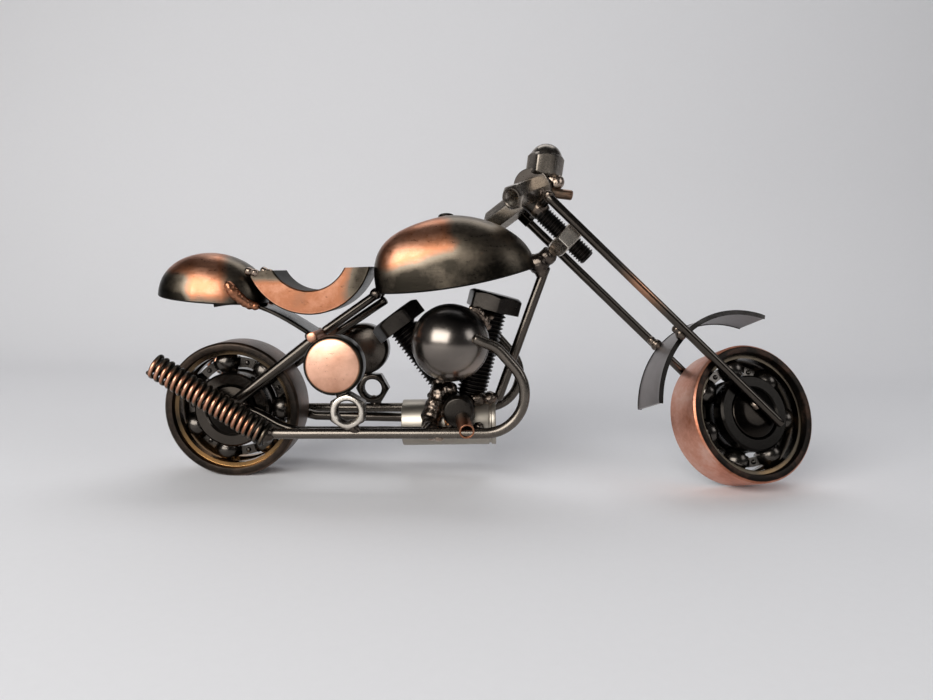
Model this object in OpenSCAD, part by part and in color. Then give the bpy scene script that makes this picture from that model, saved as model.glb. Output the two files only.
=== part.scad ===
// Chopper figurine welded from bearings, bolts, nuts, springs and rod. Millimetres, +Z up, +X forward.
// The origin is the point on the ground under the rear axle, in the middle plane.

/* [Wheels] */
// Outer diameter of each bearing that serves as a wheel
wheel_d = 22; // [21:0.5:23]
// Width of each wheel bearing
wheel_w = 7; // [6.6:0.1:7.2]
// Bore of the wheel bearing
bore_d = 8; // [7.5:0.1:8.2]
// Shoulder diameter of the inner ring
inner_d = 12.1; // [11.6:0.1:12.3]
// Shoulder diameter of the outer ring
outer_shoulder_d = 17.9; // [17.7:0.1:18.4]
// Diameter of the recess turned in each face of the outer ring
recess_d = 19.2; // [18.8:0.1:19.6]
// Diameter of the circle through the ball centres
pitch_d = 15; // [14.9:0.05:15.1]
// Diameter of each wheel ball
ball_d = 3.9; // [3.8:0.05:3.95]
// Number of balls in each wheel
balls = 7; // [6:1:7]

/* [Steering] */
// Distance from the rear axle forward to the steering axis at head height
head_x = 50.7; // [50:0.1:51.4]
// Height of the reference point on the steering axis
head_z = 42; // [41:0.1:43]
// Lean of the steering axis from the vertical, in degrees
rake = 47.4; // [46:0.1:49]
// How far the fork is turned left at rest, in degrees
steer = 27.3; // [20:0.1:30]
// Distance of the wheel centre behind the steering axis
fork_offset = 1.2; // [0.8:0.1:1.6]
// Half the distance between the fork rods
fork_half = 4.55; // [4.5:0.05:4.8]
// Diameter of each fork rod
fork_rod_d = 1.45; // [1.3:0.05:1.5]
// Thread diameter of the steering bolt
steer_bolt_d = 2.9; // [2.8:0.05:3]
// Radial clearance of the steering bolt in the head nut
steer_fit = 0.05; // [0.03:0.01:0.09]
// Width across flats of the head nut
small_nut_af = 5.5; // [5.2:0.1:5.7]

/* [Frame] */
// Diameter of the lower stays
stay_d = 1.9; // [1.7:0.05:2]
// Diameter of the seat struts
strut_d = 1.4; // [1.2:0.05:1.5]
// Diameter of the lower rails, the down tube and the cross peg
rail_d = 1.6; // [1.4:0.05:1.7]
// Diameter of the exhaust rods
exhaust_d = 1.65; // [1.5:0.05:1.7]
// Distance of the exhaust rods from the middle plane
exhaust_y = 10.3; // [10:0.1:10.6]

/* [Engine] */
// Diameter of the engine balls
engine_ball_d = 12; // [11.5:0.1:12.2]
// Distance of each engine ball from the middle plane
engine_ball_y = 6.75; // [6.7:0.05:7]
// Thread diameter of the cylinder bolts
cyl_bolt_d = 4.9; // [4.7:0.1:5]
// Width across flats of the cylinder bolt heads
cyl_head_af = 8; // [7.8:0.1:8.2]
// Height of the cylinder bolt heads
cyl_head_h = 2.7; // [2.4:0.1:3]
// Diameter of the crankcase slug
crankcase_d = 7.5; // [7.2:0.1:7.8]
// Length of the crankcase slug
crankcase_l = 15.2; // [14.8:0.1:15.6]

/* [Body shells] */
// Wall of the tank and of the rear cowl
shell_wall = 0.7; // [0.5:0.1:0.9]
// Length of the tank
tank_l = 26; // [25.5:0.1:26.5]
// Half width of the tank
tank_half_w = 6.5; // [6:0.1:6.8]
// Height of the tank above its rim
tank_h = 10.3; // [9.8:0.1:10.6]
// Length of the rear cowl
cowl_l = 17.6; // [17:0.1:18]
// Half width of the rear cowl
cowl_half_w = 6; // [5.5:0.1:6.4]
// Height of the rear cowl above its rim
cowl_h = 7.4; // [7:0.1:7.8]
// Outer radius of the seat half ring
seat_r = 10.15; // [9.9:0.05:10.4]
// Inner radius of the seat half ring
seat_inner_r = 6.35; // [6.1:0.05:6.6]
// Width of the seat
seat_w = 8; // [7.5:0.1:8.5]

/* [Fender] */
// Half the width of the front fender
fender_half_w = 3.2; // [3:0.1:3.4]
// Radius of the front fender about the wheel centre
fender_r = 16.75; // [16.4:0.05:17]

/* [Trim] */
// Diameter of the side discs
disc_d = 9; // [8.6:0.1:9.1]
// Thickness of the side discs
disc_t = 4.2; // [3.8:0.1:4.4]
// Outer diameter of the muffler springs
spring_d = 4; // [3.8:0.1:4.2]
// Wire diameter of the muffler springs
spring_wire = 0.75; // [0.65:0.05:0.8]
// Number of turns in each muffler spring
spring_turns = 19; // [17:1:20]
// Width across flats of the handlebar sleeves
grip_af = 3.5; // [3.3:0.1:3.6]
// Bore of the handlebar sleeves
grip_bore_d = 2.3; // [2.1:0.1:2.5]

/* [Hidden] */
$fn = 64;

black = [0.17, 0.16, 0.15];
dark = [0.26, 0.24, 0.22];
steel = [0.48, 0.46, 0.43];
copper = [0.75, 0.47, 0.32];

// Ball joints in bent rods: the straight lengths stop short of the bend, inside the ball
bend_gap = 0.15;
bend_swell = 0.1;

// Wheels
wheel_r = wheel_d / 2;
edge_chamfer = 0.35;
recess_deep = 0.9;
groove_r = ball_d / 2 + 0.05;
cage_in_r = pitch_d / 2 - 0.75;
cage_out_r = pitch_d / 2 + 0.75;
cage_half = 2.3;
pocket_gap = 0.06;
hub_half = wheel_w / 2 + 0.5;
fork_hub_half = fork_half - fork_rod_d / 2;

// Steering frame: local X runs forward across the axis, local Y to the left, local Z up the axis.
// The fork is long enough for the leaning front wheel to stand on the ground.
camber = asin(sin(steer) * sin(rake));
front_stand = wheel_r * cos(camber) + (wheel_w / 2 - edge_chamfer) * sin(camber);
fork_reach = (head_z - fork_offset * cos(steer) * sin(rake) - front_stand) / cos(rake);

// Frame stations in the side view, [x, z]
stay_y = hub_half + stay_d / 2;
stay_foot = [1.2, 12.6];
peg_at = [14.9, 23.7];
strut_top = [23.2, 29.9];
left_strut_foot = [14.4, 22.4];
left_strut_top = [24.2, 29];
strut_foot_y = 4.6;
strut_top_y = 2.4;
rail_y = 6.2;
rail_front = [41, 4.7, 8.8];
crankcase_at = [35.2, 9.2];
crankcase_tilt = 2.2;
down_tube_top = [50.3, 35];
down_tube_foot = [43, 13.1];

// Engine, [x, z] of the seat of each bolt head, and the lean of its axis from the vertical
back_bolt_at = [27.35, 24.7];
back_bolt_lean = -38;
back_bolt_l = 11.6;
front_bolt_at = [41.8, 27.75];
front_bolt_lean = 13;
front_bolt_l = 14.8;
engine_ball_at = [35.5, 23];
left_ball_drop = 0.9;
stub_at = [36.8, 12.1];
stub_d = 5;
stub_out = 6.6;
tube_foot = [37.4, -5.6, 11.1];
tube_mouth = [38.4, -11.4, 10.2];
tube_d = 2.3;
tube_bore = 1.8;

// Exhaust, [x, z]
exhaust_tip = [39.1, 24.2];
exhaust_tip_out = 0.8;
exhaust_knee = [42.6, 22.8];
exhaust_bend_at = [40.9, 15.75];
exhaust_bend_r = 6;
exhaust_bend_from = 41;
exhaust_tail = [8.6, 8.9];
spring_tip = [-9.6, 19.3];
spring_root = [8.1, 8.5];
left_spring_drop = 0.8;

// Trim
disc_at = [18.4, 19.7];
disc_y = 10.4;
left_disc_shift = [0.8, 0.2];
nut_at = [20.4, 12.75];
side_nut_af = 5.15;
side_nut_t = 2.4;
side_nut_bore = 3.3;
side_nut_mouth = 3.8;

// Seat, strip and shells
seat_at = [12.7, 36.8];
seat_cut_rear = 33.4;
seat_cut_front = 34.4;
strip_w = 7.6;
strip_t = 0.5;
strip_start = [-2.4, 27.8];
strip_crest = [3.2, 29.1];
strip_fall = [6.5, 27.6];
strip_end = [13.9, 22.9];
cowl_at = [-3.75, 28.8];
cowl_tilt = 3.5;
tank_at = [35.9, 32.6];
tank_tilt = -10.3;
tank_sag = 1;
cap_at = [34, 2.4, 42.1];

// Fork pieces in the steering frame, [forward, left, up]
nut_low = -5.1;
nut_high = -2.4;
bolt_low = -8.4;
bolt_high = 5;
rod_top = 3;
right_rod_low = -48.2;
left_rod_low = -46.4;
fender_t = 0.5;
fender_from = 27.5;
fender_to = 128;
right_grip_root = [2.25, -0.1, 5.43];
right_grip_end = [-4.11, -3.51, 6.81];
left_grip_root = [1.1, 1.9, 5.5];
left_grip_end = [-3.5, 7.85, 6.75];
washer_d = 6.8;
washer_t = 0.6;
lamp_root = [4.4, -1.15, 5.65];
lamp_top = [8.1, -3.05, 8.7];
lamp_hex_h = 3.6;
lamp_hex_af = 5.2;
lever_root = [2.5, -1.1, 3.9];
lever_end = [4.91, -2.31, 0.25];
lever_d = 1.6;
collar_at = [0.25, 4.4, 3.3];

// ---- Helpers ----

// Round bar from point a to point b
module bar(a, b, d) {
  v = b - a;
  translate(a)
    rotate([0, acos(v[2] / norm(v)), atan2(v[1], v[0])])
      cylinder(h = norm(v), d = d);
}

// Ball whose poles lie fore and aft
module level_ball(d) {
  rotate([0, 90, 0]) sphere(d = d);
}

// Round bar through a list of points, with a slightly proud ball at each bend
module bent_bar(points, d) {
  last = len(points) - 1;
  for (i = [0 : last - 1]) {
    step = (points[i + 1] - points[i]) / norm(points[i + 1] - points[i]);
    bar(points[i] + (i > 0 ? bend_gap : 0) * step, points[i + 1] - (i + 1 < last ? bend_gap : 0) * step, d);
  }
  for (i = [1 : last - 1]) translate(points[i]) level_ball(d + bend_swell);
}

// Places children with their +Z along b - a, at a
module along(a, b) {
  v = b - a;
  translate(a) rotate([0, acos(v[2] / norm(v)), atan2(v[1], v[0])]) children();
}

// Children drawn for the right side, mirrored to the left when side is 1
module on_side(side) {
  if (side < 0) children();
  else mirror([0, 1, 0]) children();
}

// A lathe turned piece whose axis is the Y axis
module about_y() {
  rotate([90, 0, 0]) children();
}

// Weld bead: a ball of filler at each station [x, y, z, diameter]
module beads(stations) {
  for (s = stations) translate([s[0], s[1], s[2]]) level_ball(s[3], $fn = 24);
}

module hex_prism(af, h) {
  cylinder(h = h, d = af / cos(30), $fn = 6);
}

// Hex head or nut with its corners turned down by a 30 degree chamfer at the top
module chamfered_hex(af, h, both = false) {
  corner = af / cos(30) / 2;
  drop = (corner - af * 0.475) * tan(30);
  intersection() {
    hex_prism(af, h);
    rotate_extrude()
      polygon([
        [0, 0], [both ? af * 0.475 : corner + 0.1, 0], [corner + 0.1, both ? drop * 1.1 : 0.01],
        [corner + 0.1, h - drop * 1.1], [af * 0.475, h], [0, h]
      ]);
  }
}

// Rounded pod: a dome on an oval rim. Rear and front may be blunter (larger power) or more pointed.
function blend(angle, front, rear) = rear + (front - rear) * (1 + cos(angle)) / 2;
function signed_power(v, p) = sign(v) * pow(abs(v), p);
function pod_point(a, b, h, front, rear, sag, around, up) =
  let (
    p = 2 / blend(around, front, rear),
    reach = pow(cos(up), p),
    x = a * reach * signed_power(cos(around), p),
    y = b * reach * signed_power(sin(around), p)
  )
  [x, y, h * pow(sin(up), p) - sag * (1 - pow(x / a, 2)) * reach];

// Closed shell between an outer pod and an inner pod, open below
module pod_shell(half_l, half_w, h, front, rear, sag, wall, columns = 44, rows = 11) {
  outer = [for (j = [0 : rows - 1], i = [0 : columns - 1])
    pod_point(half_l, half_w, h, front, rear, sag, 360 * i / columns, 90 * j / rows)];
  inner = [for (j = [0 : rows - 1], i = [0 : columns - 1])
    pod_point(half_l - wall, half_w - wall, h - wall, front, rear, sag, 360 * i / columns, 90 * j / rows)];
  n = columns * rows;
  function at(i, j) = j * columns + (i % columns);
  points = concat(outer, inner, [[0, 0, h], [0, 0, h - wall]]);
  quads = [for (j = [0 : rows - 2], i = [0 : columns - 1]) [at(i, j), at(i + 1, j), at(i + 1, j + 1), at(i, j + 1)]];
  faces = concat(
    [for (q = quads) [q[0], q[2], q[1]]], [for (q = quads) [q[0], q[3], q[2]]],
    [for (q = quads) [n + q[0], n + q[1], n + q[2]]], [for (q = quads) [n + q[0], n + q[2], n + q[3]]],
    [for (i = [0 : columns - 1]) [at(i, rows - 1), 2 * n, at(i + 1, rows - 1)]],
    [for (i = [0 : columns - 1]) [n + at(i, rows - 1), n + at(i + 1, rows - 1), 2 * n + 1]],
    [for (i = [0 : columns - 1]) [i, (i + 1) % columns, n + (i + 1) % columns]],
    [for (i = [0 : columns - 1]) [i, n + (i + 1) % columns, n + i]]
  );
  polyhedron(points, faces);
}

// ---- Wheels: a ball bearing drawn about the Y axis, centred on the origin ----

module inner_ring() {
  about_y()
    rotate_extrude()
      difference() {
        translate([bore_d / 2, -wheel_w / 2]) square([(inner_d - bore_d) / 2, wheel_w]);
        translate([pitch_d / 2, 0]) circle(r = groove_r);
      }
}

module outer_ring() {
  face = wheel_w / 2;
  about_y()
    rotate_extrude()
      difference() {
        polygon([
          [outer_shoulder_d / 2, recess_deep - face], [recess_d / 2, recess_deep - face], [recess_d / 2, -face],
          [wheel_r - edge_chamfer, -face], [wheel_r, edge_chamfer - face], [wheel_r, face - edge_chamfer],
          [wheel_r - edge_chamfer, face], [recess_d / 2, face], [recess_d / 2, face - recess_deep],
          [outer_shoulder_d / 2, face - recess_deep]
        ]);
        translate([pitch_d / 2, 0]) circle(r = groove_r);
      }
}

module cage_ball_at(i) {
  rotate([0, -360 * i / balls, 0]) translate([pitch_d / 2, 0, 0]) children();
}

// Cage: a ring of even thickness with a round pocket bored from outside for each ball
module ball_cage() {
  difference() {
    about_y()
      rotate_extrude()
        translate([cage_in_r, -cage_half]) square([cage_out_r - cage_in_r, 2 * cage_half]);
    for (i = [0 : balls - 1])
      cage_ball_at(i) rotate([0, 90, 0]) cylinder(h = 4, d = ball_d + 2 * pocket_gap, center = true);
  }
}

module wheel_balls() {
  for (i = [0 : balls - 1]) cage_ball_at(i) sphere(d = ball_d);
}

// Plug that fills the bore, dished on both faces
module hub_plug(half) {
  about_y()
    rotate_extrude()
      polygon([
        [0, -half], [2.6, -half], [3.2, -wheel_w / 2 + 0.4], [bore_d / 2, -wheel_w / 2 + 0.2],
        [bore_d / 2, wheel_w / 2 - 0.2], [3.2, wheel_w / 2 - 0.4], [2.6, half], [0, half]
      ]);
}

module at_rear_axle() {
  translate([0, 0, wheel_r]) children();
}

// Steering frame at rest, turned by the steering angle
module in_fork() {
  translate([head_x, 0, head_z]) rotate([0, -rake, 0]) rotate([0, 0, steer]) children();
}

// Steering frame that stays straight ahead
module in_head() {
  translate([head_x, 0, head_z]) rotate([0, -rake, 0]) children();
}

module at_front_axle() {
  in_fork() translate([-fork_offset, 0, -fork_reach]) children();
}

module rear_hub() { color(black) at_rear_axle() hub_plug(hub_half); }
module rear_inner_ring() { color(dark) at_rear_axle() inner_ring(); }
module rear_outer_ring() { color(dark) at_rear_axle() outer_ring(); }
module rear_cage() { color(steel) at_rear_axle() ball_cage(); }
module rear_balls() { color(dark) at_rear_axle() wheel_balls(); }

module front_hub() { color(black) at_front_axle() hub_plug(fork_hub_half); }
module front_inner_ring() { color(black) at_front_axle() inner_ring(); }
module front_outer_ring() { color(copper) at_front_axle() outer_ring(); }
module front_cage() { color(steel) at_front_axle() ball_cage(); }
module front_balls() { color(dark) at_front_axle() wheel_balls(); }

// ---- Frame ----

module lower_stay(side, foot_end) {
  bar([stay_foot[0], side * stay_y, stay_foot[1]], foot_end, stay_d);
}

module right_stay() { color(dark) lower_stay(-1, [peg_at[0] - 0.45, -strut_foot_y, peg_at[1] - 0.45]); }
module left_stay() { color(dark) lower_stay(1, [left_strut_foot[0] + 0.2, strut_foot_y, left_strut_foot[1] + 0.3]); }

module right_strut() {
  color(dark)
    bar([peg_at[0] + 0.5, -strut_foot_y, peg_at[1] + 0.4], [strut_top[0], -strut_top_y, strut_top[1]], strut_d);
}

module left_strut() {
  color(dark)
    bar([left_strut_foot[0] + 0.5, strut_foot_y, left_strut_foot[1] + 0.3],
      [left_strut_top[0], strut_top_y, left_strut_top[1]], strut_d);
}

module cross_peg() {
  color(copper) translate([peg_at[0], 0, peg_at[1]]) about_y() cylinder(h = 2 * exhaust_y + 0.4, d = rail_d, center = true);
}

module lower_rail(side) {
  on_side(side)
    bent_bar([
      [3.3, -stay_y + 0.1, 11.4], [5.6, -5.2, 10.6], [8.4, -5.8, 9.2], [11.5, -rail_y, 8.4],
      [rail_front[0], -rail_front[1], rail_front[2]]
    ], rail_d);
}

module right_rail() { color(dark) lower_rail(-1); }
module left_rail() { color(dark) lower_rail(1); }

module down_tube() {
  color(dark)
    bar([down_tube_foot[0], 0, down_tube_foot[1]], [down_tube_top[0], 0, down_tube_top[1]], rail_d);
}

// Hex nut on the steering axis that carries the steering bolt
module head_nut() {
  color(steel)
    in_head() translate([0, 0, nut_low])
      difference() {
        rotate([0, 0, 8]) chamfered_hex(small_nut_af, nut_high - nut_low, true);
        translate([0, 0, -1]) cylinder(h = nut_high - nut_low + 2, d = steer_bolt_d + 2 * steer_fit);
      }
}

// ---- Engine ----

module crankcase() {
  groove = 0.25;
  color(steel)
    translate([crankcase_at[0], 0, crankcase_at[1]]) rotate([0, 90 - crankcase_tilt, 0])
      rotate_extrude()
        polygon([
          [0, -crankcase_l / 2], [crankcase_d / 2, -crankcase_l / 2], [crankcase_d / 2, crankcase_l / 2 - 0.9],
          [crankcase_d / 2 - groove, crankcase_l / 2 - 0.9], [crankcase_d / 2 - groove, crankcase_l / 2 - 0.6],
          [crankcase_d / 2, crankcase_l / 2 - 0.6], [crankcase_d / 2, crankcase_l / 2], [0, crankcase_l / 2]
        ]);
}

// Bolt with its head up, the seat of the head at the given place, leaning in the side view
module cylinder_bolt(at, lean, l, turn) {
  translate([at[0], 0, at[1]]) rotate([0, lean, 0]) {
    rotate([0, 0, turn]) chamfered_hex(cyl_head_af, cyl_head_h);
    translate([0, 0, -l]) cylinder(h = l + 0.5, d = cyl_bolt_d);
  }
}

module back_cylinder() { color(dark) cylinder_bolt(back_bolt_at, back_bolt_lean, back_bolt_l, 30); }
module front_cylinder() { color(dark) cylinder_bolt(front_bolt_at, front_bolt_lean, front_bolt_l, 12); }

module engine_ball(y, z) {
  translate([engine_ball_at[0], y, z]) sphere(d = engine_ball_d);
}

module right_engine_ball() { color(dark) engine_ball(-engine_ball_y, engine_ball_at[1]); }
module left_engine_ball() { color(dark) engine_ball(engine_ball_y, engine_ball_at[1] - left_ball_drop); }

// Round stub facing right, with a shallow ring turned in its face
module stub_bolt() {
  color(dark)
    translate([stub_at[0], 0, stub_at[1]]) about_y()
      rotate_extrude()
        polygon([
          [0, 2.9], [stub_d / 2, 2.9], [stub_d / 2, stub_out - 0.3], [stub_d / 2 - 0.3, stub_out],
          [stub_d / 2 - 0.7, stub_out], [stub_d / 2 - 0.8, stub_out - 0.25], [0, stub_out - 0.25]
        ]);
}

module breather_tube() {
  l = norm(tube_mouth - tube_foot);
  color(copper)
    along(tube_foot, tube_mouth)
      difference() {
        cylinder(h = l, d = tube_d);
        translate([0, 0, 1]) cylinder(h = l, d = tube_bore);
      }
}

// ---- Exhausts and mufflers ----

module exhaust(side) {
  bend_start = exhaust_bend_at + exhaust_bend_r * [cos(exhaust_bend_from), sin(exhaust_bend_from)];
  bend_end = exhaust_bend_at + [0, -exhaust_bend_r];
  on_side(side) translate([0, -exhaust_y, 0]) {
    bent_bar([
      [exhaust_tip[0], -exhaust_tip_out, exhaust_tip[1]], [exhaust_knee[0], 0, exhaust_knee[1]],
      [bend_start[0], 0, bend_start[1]] + bend_gap * [-sin(exhaust_bend_from), 0, cos(exhaust_bend_from)]
    ], exhaust_d);
    translate([exhaust_bend_at[0], 0, exhaust_bend_at[1]]) rotate([90, 0, 0]) rotate([0, 0, -90])
      rotate_extrude(angle = exhaust_bend_from + 90) translate([exhaust_bend_r, 0]) circle(d = exhaust_d);
    bar([bend_end[0] - bend_gap, 0, bend_end[1]], [exhaust_tail[0], 0, exhaust_tail[1]], exhaust_d);
    for (p = [bend_start, bend_end]) translate([p[0], 0, p[1]]) level_ball(exhaust_d + bend_swell);
  }
}

module right_exhaust() { color(dark) exhaust(-1); }
module left_exhaust() { color(dark) exhaust(1); }

// Helical wire as one swept surface along +Z
module helix(coil_r, wire_d, turns, l, steps = 14, sides = 6) {
  rings = turns * steps;
  rise = l / rings;
  slope = atan2(l / turns, 2 * 180 / 57.2958 * coil_r);
  points = [for (i = [0 : rings], k = [0 : sides - 1])
    let (
      turn = 360 * i / steps, a = 360 * k / sides,
      out = wire_d / 2 * cos(a), up = wire_d / 2 * sin(a) * cos(slope), back = -wire_d / 2 * sin(a) * sin(slope)
    )
    [(coil_r + out) * cos(turn) - back * sin(turn), (coil_r + out) * sin(turn) + back * cos(turn), rise * i + up]];
  body = [for (i = [0 : rings - 1], k = [0 : sides - 1])
    let (a = i * sides + k, b = i * sides + (k + 1) % sides)
    [a, a + sides, b + sides, b]];
  polyhedron(points, concat(
    [for (q = body) [q[0], q[1], q[2]]], [for (q = body) [q[0], q[2], q[3]]],
    [[for (k = [0 : sides - 1]) k]], [[for (k = [sides - 1 : -1 : 0]) rings * sides + k]]
  ));
}

module muffler(side, drop) {
  root = [spring_root[0], -exhaust_y, spring_root[1]];
  tip = [spring_tip[0], -exhaust_y, spring_tip[1] - drop];
  on_side(side)
    along(root, tip)
      helix((spring_d - spring_wire) / 2, spring_wire, spring_turns, norm(tip - root));
}

module right_muffler() { color(copper) muffler(-1, 0); }
module left_muffler() { color(copper) muffler(1, left_spring_drop); }

// ---- Side trim ----

// Thick button with rounded edges, its axis across the motorcycle
module side_disc() {
  round = 0.8;
  about_y()
    rotate_extrude() {
      translate([0, -disc_t / 2]) square([disc_d / 2 - round, disc_t]);
      translate([0, -disc_t / 2 + round]) square([disc_d / 2, disc_t - 2 * round]);
      for (z = [-1, 1]) translate([disc_d / 2 - round, z * (disc_t / 2 - round)]) circle(r = round);
    }
}

module right_disc() { color(copper) translate([disc_at[0], -disc_y, disc_at[1]]) side_disc(); }
module left_disc() {
  color(dark)
    translate([disc_at[0] + left_disc_shift[0], disc_y, disc_at[1] + left_disc_shift[1]]) side_disc();
}

module side_nut(turn) {
  mouth_depth = (side_nut_mouth - side_nut_bore) / 2;
  about_y()
    translate([0, 0, -side_nut_t / 2])
      difference() {
        rotate([0, 0, turn]) chamfered_hex(side_nut_af, side_nut_t, true);
        translate([0, 0, -1]) cylinder(h = side_nut_t + 2, d = side_nut_bore);
        translate([0, 0, -0.01]) cylinder(h = mouth_depth, d1 = side_nut_mouth, d2 = side_nut_bore);
        translate([0, 0, side_nut_t - mouth_depth + 0.01])
          cylinder(h = mouth_depth, d1 = side_nut_bore, d2 = side_nut_mouth);
      }
}

module right_nut() { color(steel) translate([nut_at[0], -exhaust_y, nut_at[1]]) side_nut(30); }
module left_nut() { color(dark) translate([nut_at[0] + 0.4, exhaust_y, nut_at[1] + 0.1]) side_nut(0); }

// ---- Seat, cowl and tank ----

module seat() {
  color(copper)
    about_y()
      linear_extrude(height = seat_w, center = true)
        intersection() {
          difference() {
            translate(seat_at) circle(r = seat_r);
            translate(seat_at) circle(r = seat_inner_r);
          }
          polygon([[0, 20], [30, 20], [30, seat_cut_front + 0.4], [0, seat_cut_rear - 0.25]]);
        }
}

// Middle line of the curved strip: level, over the crest, down to the cross peg
function strip_line(t) =
  pow(1 - t, 3) * strip_start + 3 * t * pow(1 - t, 2) * strip_crest
  + 3 * t * t * (1 - t) * strip_fall + pow(t, 3) * strip_end;
function strip_edge(t, side) =
  let (d = strip_line(t + 0.01) - strip_line(t - 0.01), n = [-d[1], d[0]] / norm(d))
  strip_line(t) + side * strip_t / 2 * n;

module seat_strip() {
  steps = 12;
  color(dark)
    about_y()
      linear_extrude(height = strip_w, center = true)
        polygon(concat(
          [for (i = [0 : steps]) strip_edge(i / steps, 1)], [for (i = [steps : -1 : 0]) strip_edge(i / steps, -1)]
        ));
}

module rear_cowl() {
  color(copper)
    translate([cowl_at[0], 0, cowl_at[1]]) rotate([0, cowl_tilt, 0])
      pod_shell(cowl_l / 2, cowl_half_w, cowl_h, 2.2, 2.15, 0.3, shell_wall);
}

module at_tank() {
  translate([tank_at[0], 0, tank_at[1]]) rotate([0, tank_tilt, 0]) children();
}

module tank() {
  color(copper) at_tank() pod_shell(tank_l / 2, tank_half_w, tank_h, 1.9, 2.8, tank_sag, shell_wall);
}

// Flat plate that closes the tank from below, inside its wall
module tank_floor() {
  inset = shell_wall + 0.35;
  floor_t = 0.5;
  outline = [for (i = [0 : 39])
    let (p = pod_point(tank_l / 2 - inset, tank_half_w - inset, tank_h, 1.9, 2.8, 0, 9 * i, 0)) [p[0], p[1]]];
  color(black) at_tank() translate([0, 0, 0.15]) linear_extrude(height = floor_t) polygon(outline);
}

module filler_cap() {
  color(dark) translate(cap_at) rotate([-16, -4, 0]) translate([0, 0, -0.6]) cylinder(h = 1.5, d1 = 3.1, d2 = 2.5);
}

// ---- Welds on the frame ----

module engine_welds() {
  color(steel) {
    beads([
      [33.9, -1.6, 15.2, 3.2], [33.4, -3, 13.6, 3], [32.9, -3.9, 12, 3], [32.6, -4.6, 10.5, 2.8],
      [32.4, -6.2, 9.7, 2.4], [32.3, -7.8, 9.4, 2.3], [32.3, -9.3, 9.3, 2.6], [35.3, -1.4, 13.6, 3],
      [39.6, -1.6, 13.4, 2.6], [41.8, -0.6, 13.2, 2.6], [40.2, -3.4, 27, 2.8]
    ]);
    beads([
      [34, 1.6, 15, 3], [33.6, 3.1, 13.2, 3], [33, 4.3, 11, 2.8],
      [32.8, 6.2, 9.7, 2.4], [32.7, 7.8, 9.5, 2.3], [32.6, 9.3, 9.4, 2.5], [39, 1.6, 13.4, 2.8]
    ]);
  }
}

module frame_welds() {
  color(steel) {
    for (side = [-1, 1]) on_side(side) {
      beads([
        [2.4, -4.3, 12.2, 1.7], [21.3, -exhaust_y, 9.9, 1.9], [19.6, -exhaust_y, 15.2, 2.2],
        [40, -4.2, 9.2, 1.9], [3.4, -3.9, 33.3, 1.5], [4.4, -3.7, 33.1, 1.3], [23.2, -2.2, 30.1, 2],
        [15.8, -9.6, 22.9, 1.6], [12.9, -3.6, 23.2, 1.6], [7.9, -exhaust_y, 8.8, 2.8]
      ]);
      bar([0.9, -5.2, 30.7], [2.9, -4.4, 28.4], 1.4);
      beads([[0.9, -5.2, 30.7, 1.5], [2.9, -4.3, 28.3, 1.7]]);
    }
    beads([[49.2, 0, 35.3, 3.6], [48, 0, 35.6, 2.8], [50.5, 0, 36.5, 3], [49.6, 0, 34, 2.4]]);
  }
}

// ---- Fork ----

module steering_bolt() {
  color(dark) in_fork() translate([0, 0, bolt_low]) cylinder(h = bolt_high - bolt_low, d = steer_bolt_d);
}

// Cross bar welded to the top of the bolt, from rod to rod
module crown_bar() {
  color(dark)
    in_fork()
      translate([0.4, 0, rod_top - 0.3]) about_y() cylinder(h = 2 * fork_half + 1, d = 1.3, center = true);
}

module fork_rod(side, low) {
  in_fork() translate([0, side * fork_half, low]) cylinder(h = rod_top - low, d = fork_rod_d);
}

module right_fork_rod() { color(dark) fork_rod(-1, right_rod_low); }
module left_fork_rod() { color(dark) fork_rod(1, left_rod_low); }

// Small hex block that finishes the top of the left rod
module left_collar() {
  color(black) in_fork() translate(collar_at) translate([0, 0, -1.1]) hex_prism(2.3, 2.2);
}

module fender() {
  color(dark)
    at_front_axle()
      rotate([90, 0, 0]) rotate([0, 0, fender_from])
        rotate_extrude(angle = fender_to - fender_from)
          translate([fender_r - fender_t / 2, -fender_half_w]) square([fender_t, 2 * fender_half_w]);
}

module grip(root, end) {
  l = norm(end - root);
  in_fork()
    along(root, end)
      difference() {
        intersection() {
          hex_prism(grip_af, l);
          cylinder(h = l, d1 = grip_af * 2.6, d2 = grip_af * 0.86);
        }
        translate([0, 0, l - 4.5]) cylinder(h = 5, d = grip_bore_d);
      }
}

module right_grip() { color(steel) grip(right_grip_root, right_grip_end); }
module left_grip() { color(steel) grip(left_grip_root, left_grip_end); }

// Round washer at the root of the right grip
module grip_washer() {
  color(dark)
    in_fork() along(right_grip_root, right_grip_end) translate([0, 0, 0.2]) cylinder(h = washer_t, d = washer_d);
}

// Acorn nut that stands for the headlamp
module lamp_nut() {
  l = norm(lamp_top - lamp_root);
  dome_r = lamp_hex_af * 0.46;
  color(steel)
    in_fork()
      along(lamp_root, lamp_top) {
        chamfered_hex(lamp_hex_af, lamp_hex_h, true);
        translate([0, 0, l - dome_r]) sphere(r = dome_r);
        cylinder(h = l - dome_r, r = dome_r);
      }
}

// Lumps of filler that carry the lamp and the lever
module lamp_stem() {
  color(steel)
    in_fork() beads([[3.6, -0.9, 5.2, 3.2], [4.6, -2.2, 3.5, 2.5], [4.6, -1.8, 4.5, 2.4], [2.6, -0.8, 4.6, 3]]);
}

module lever() { color(copper) in_fork() bar(lever_root, lever_end, lever_d); }

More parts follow.
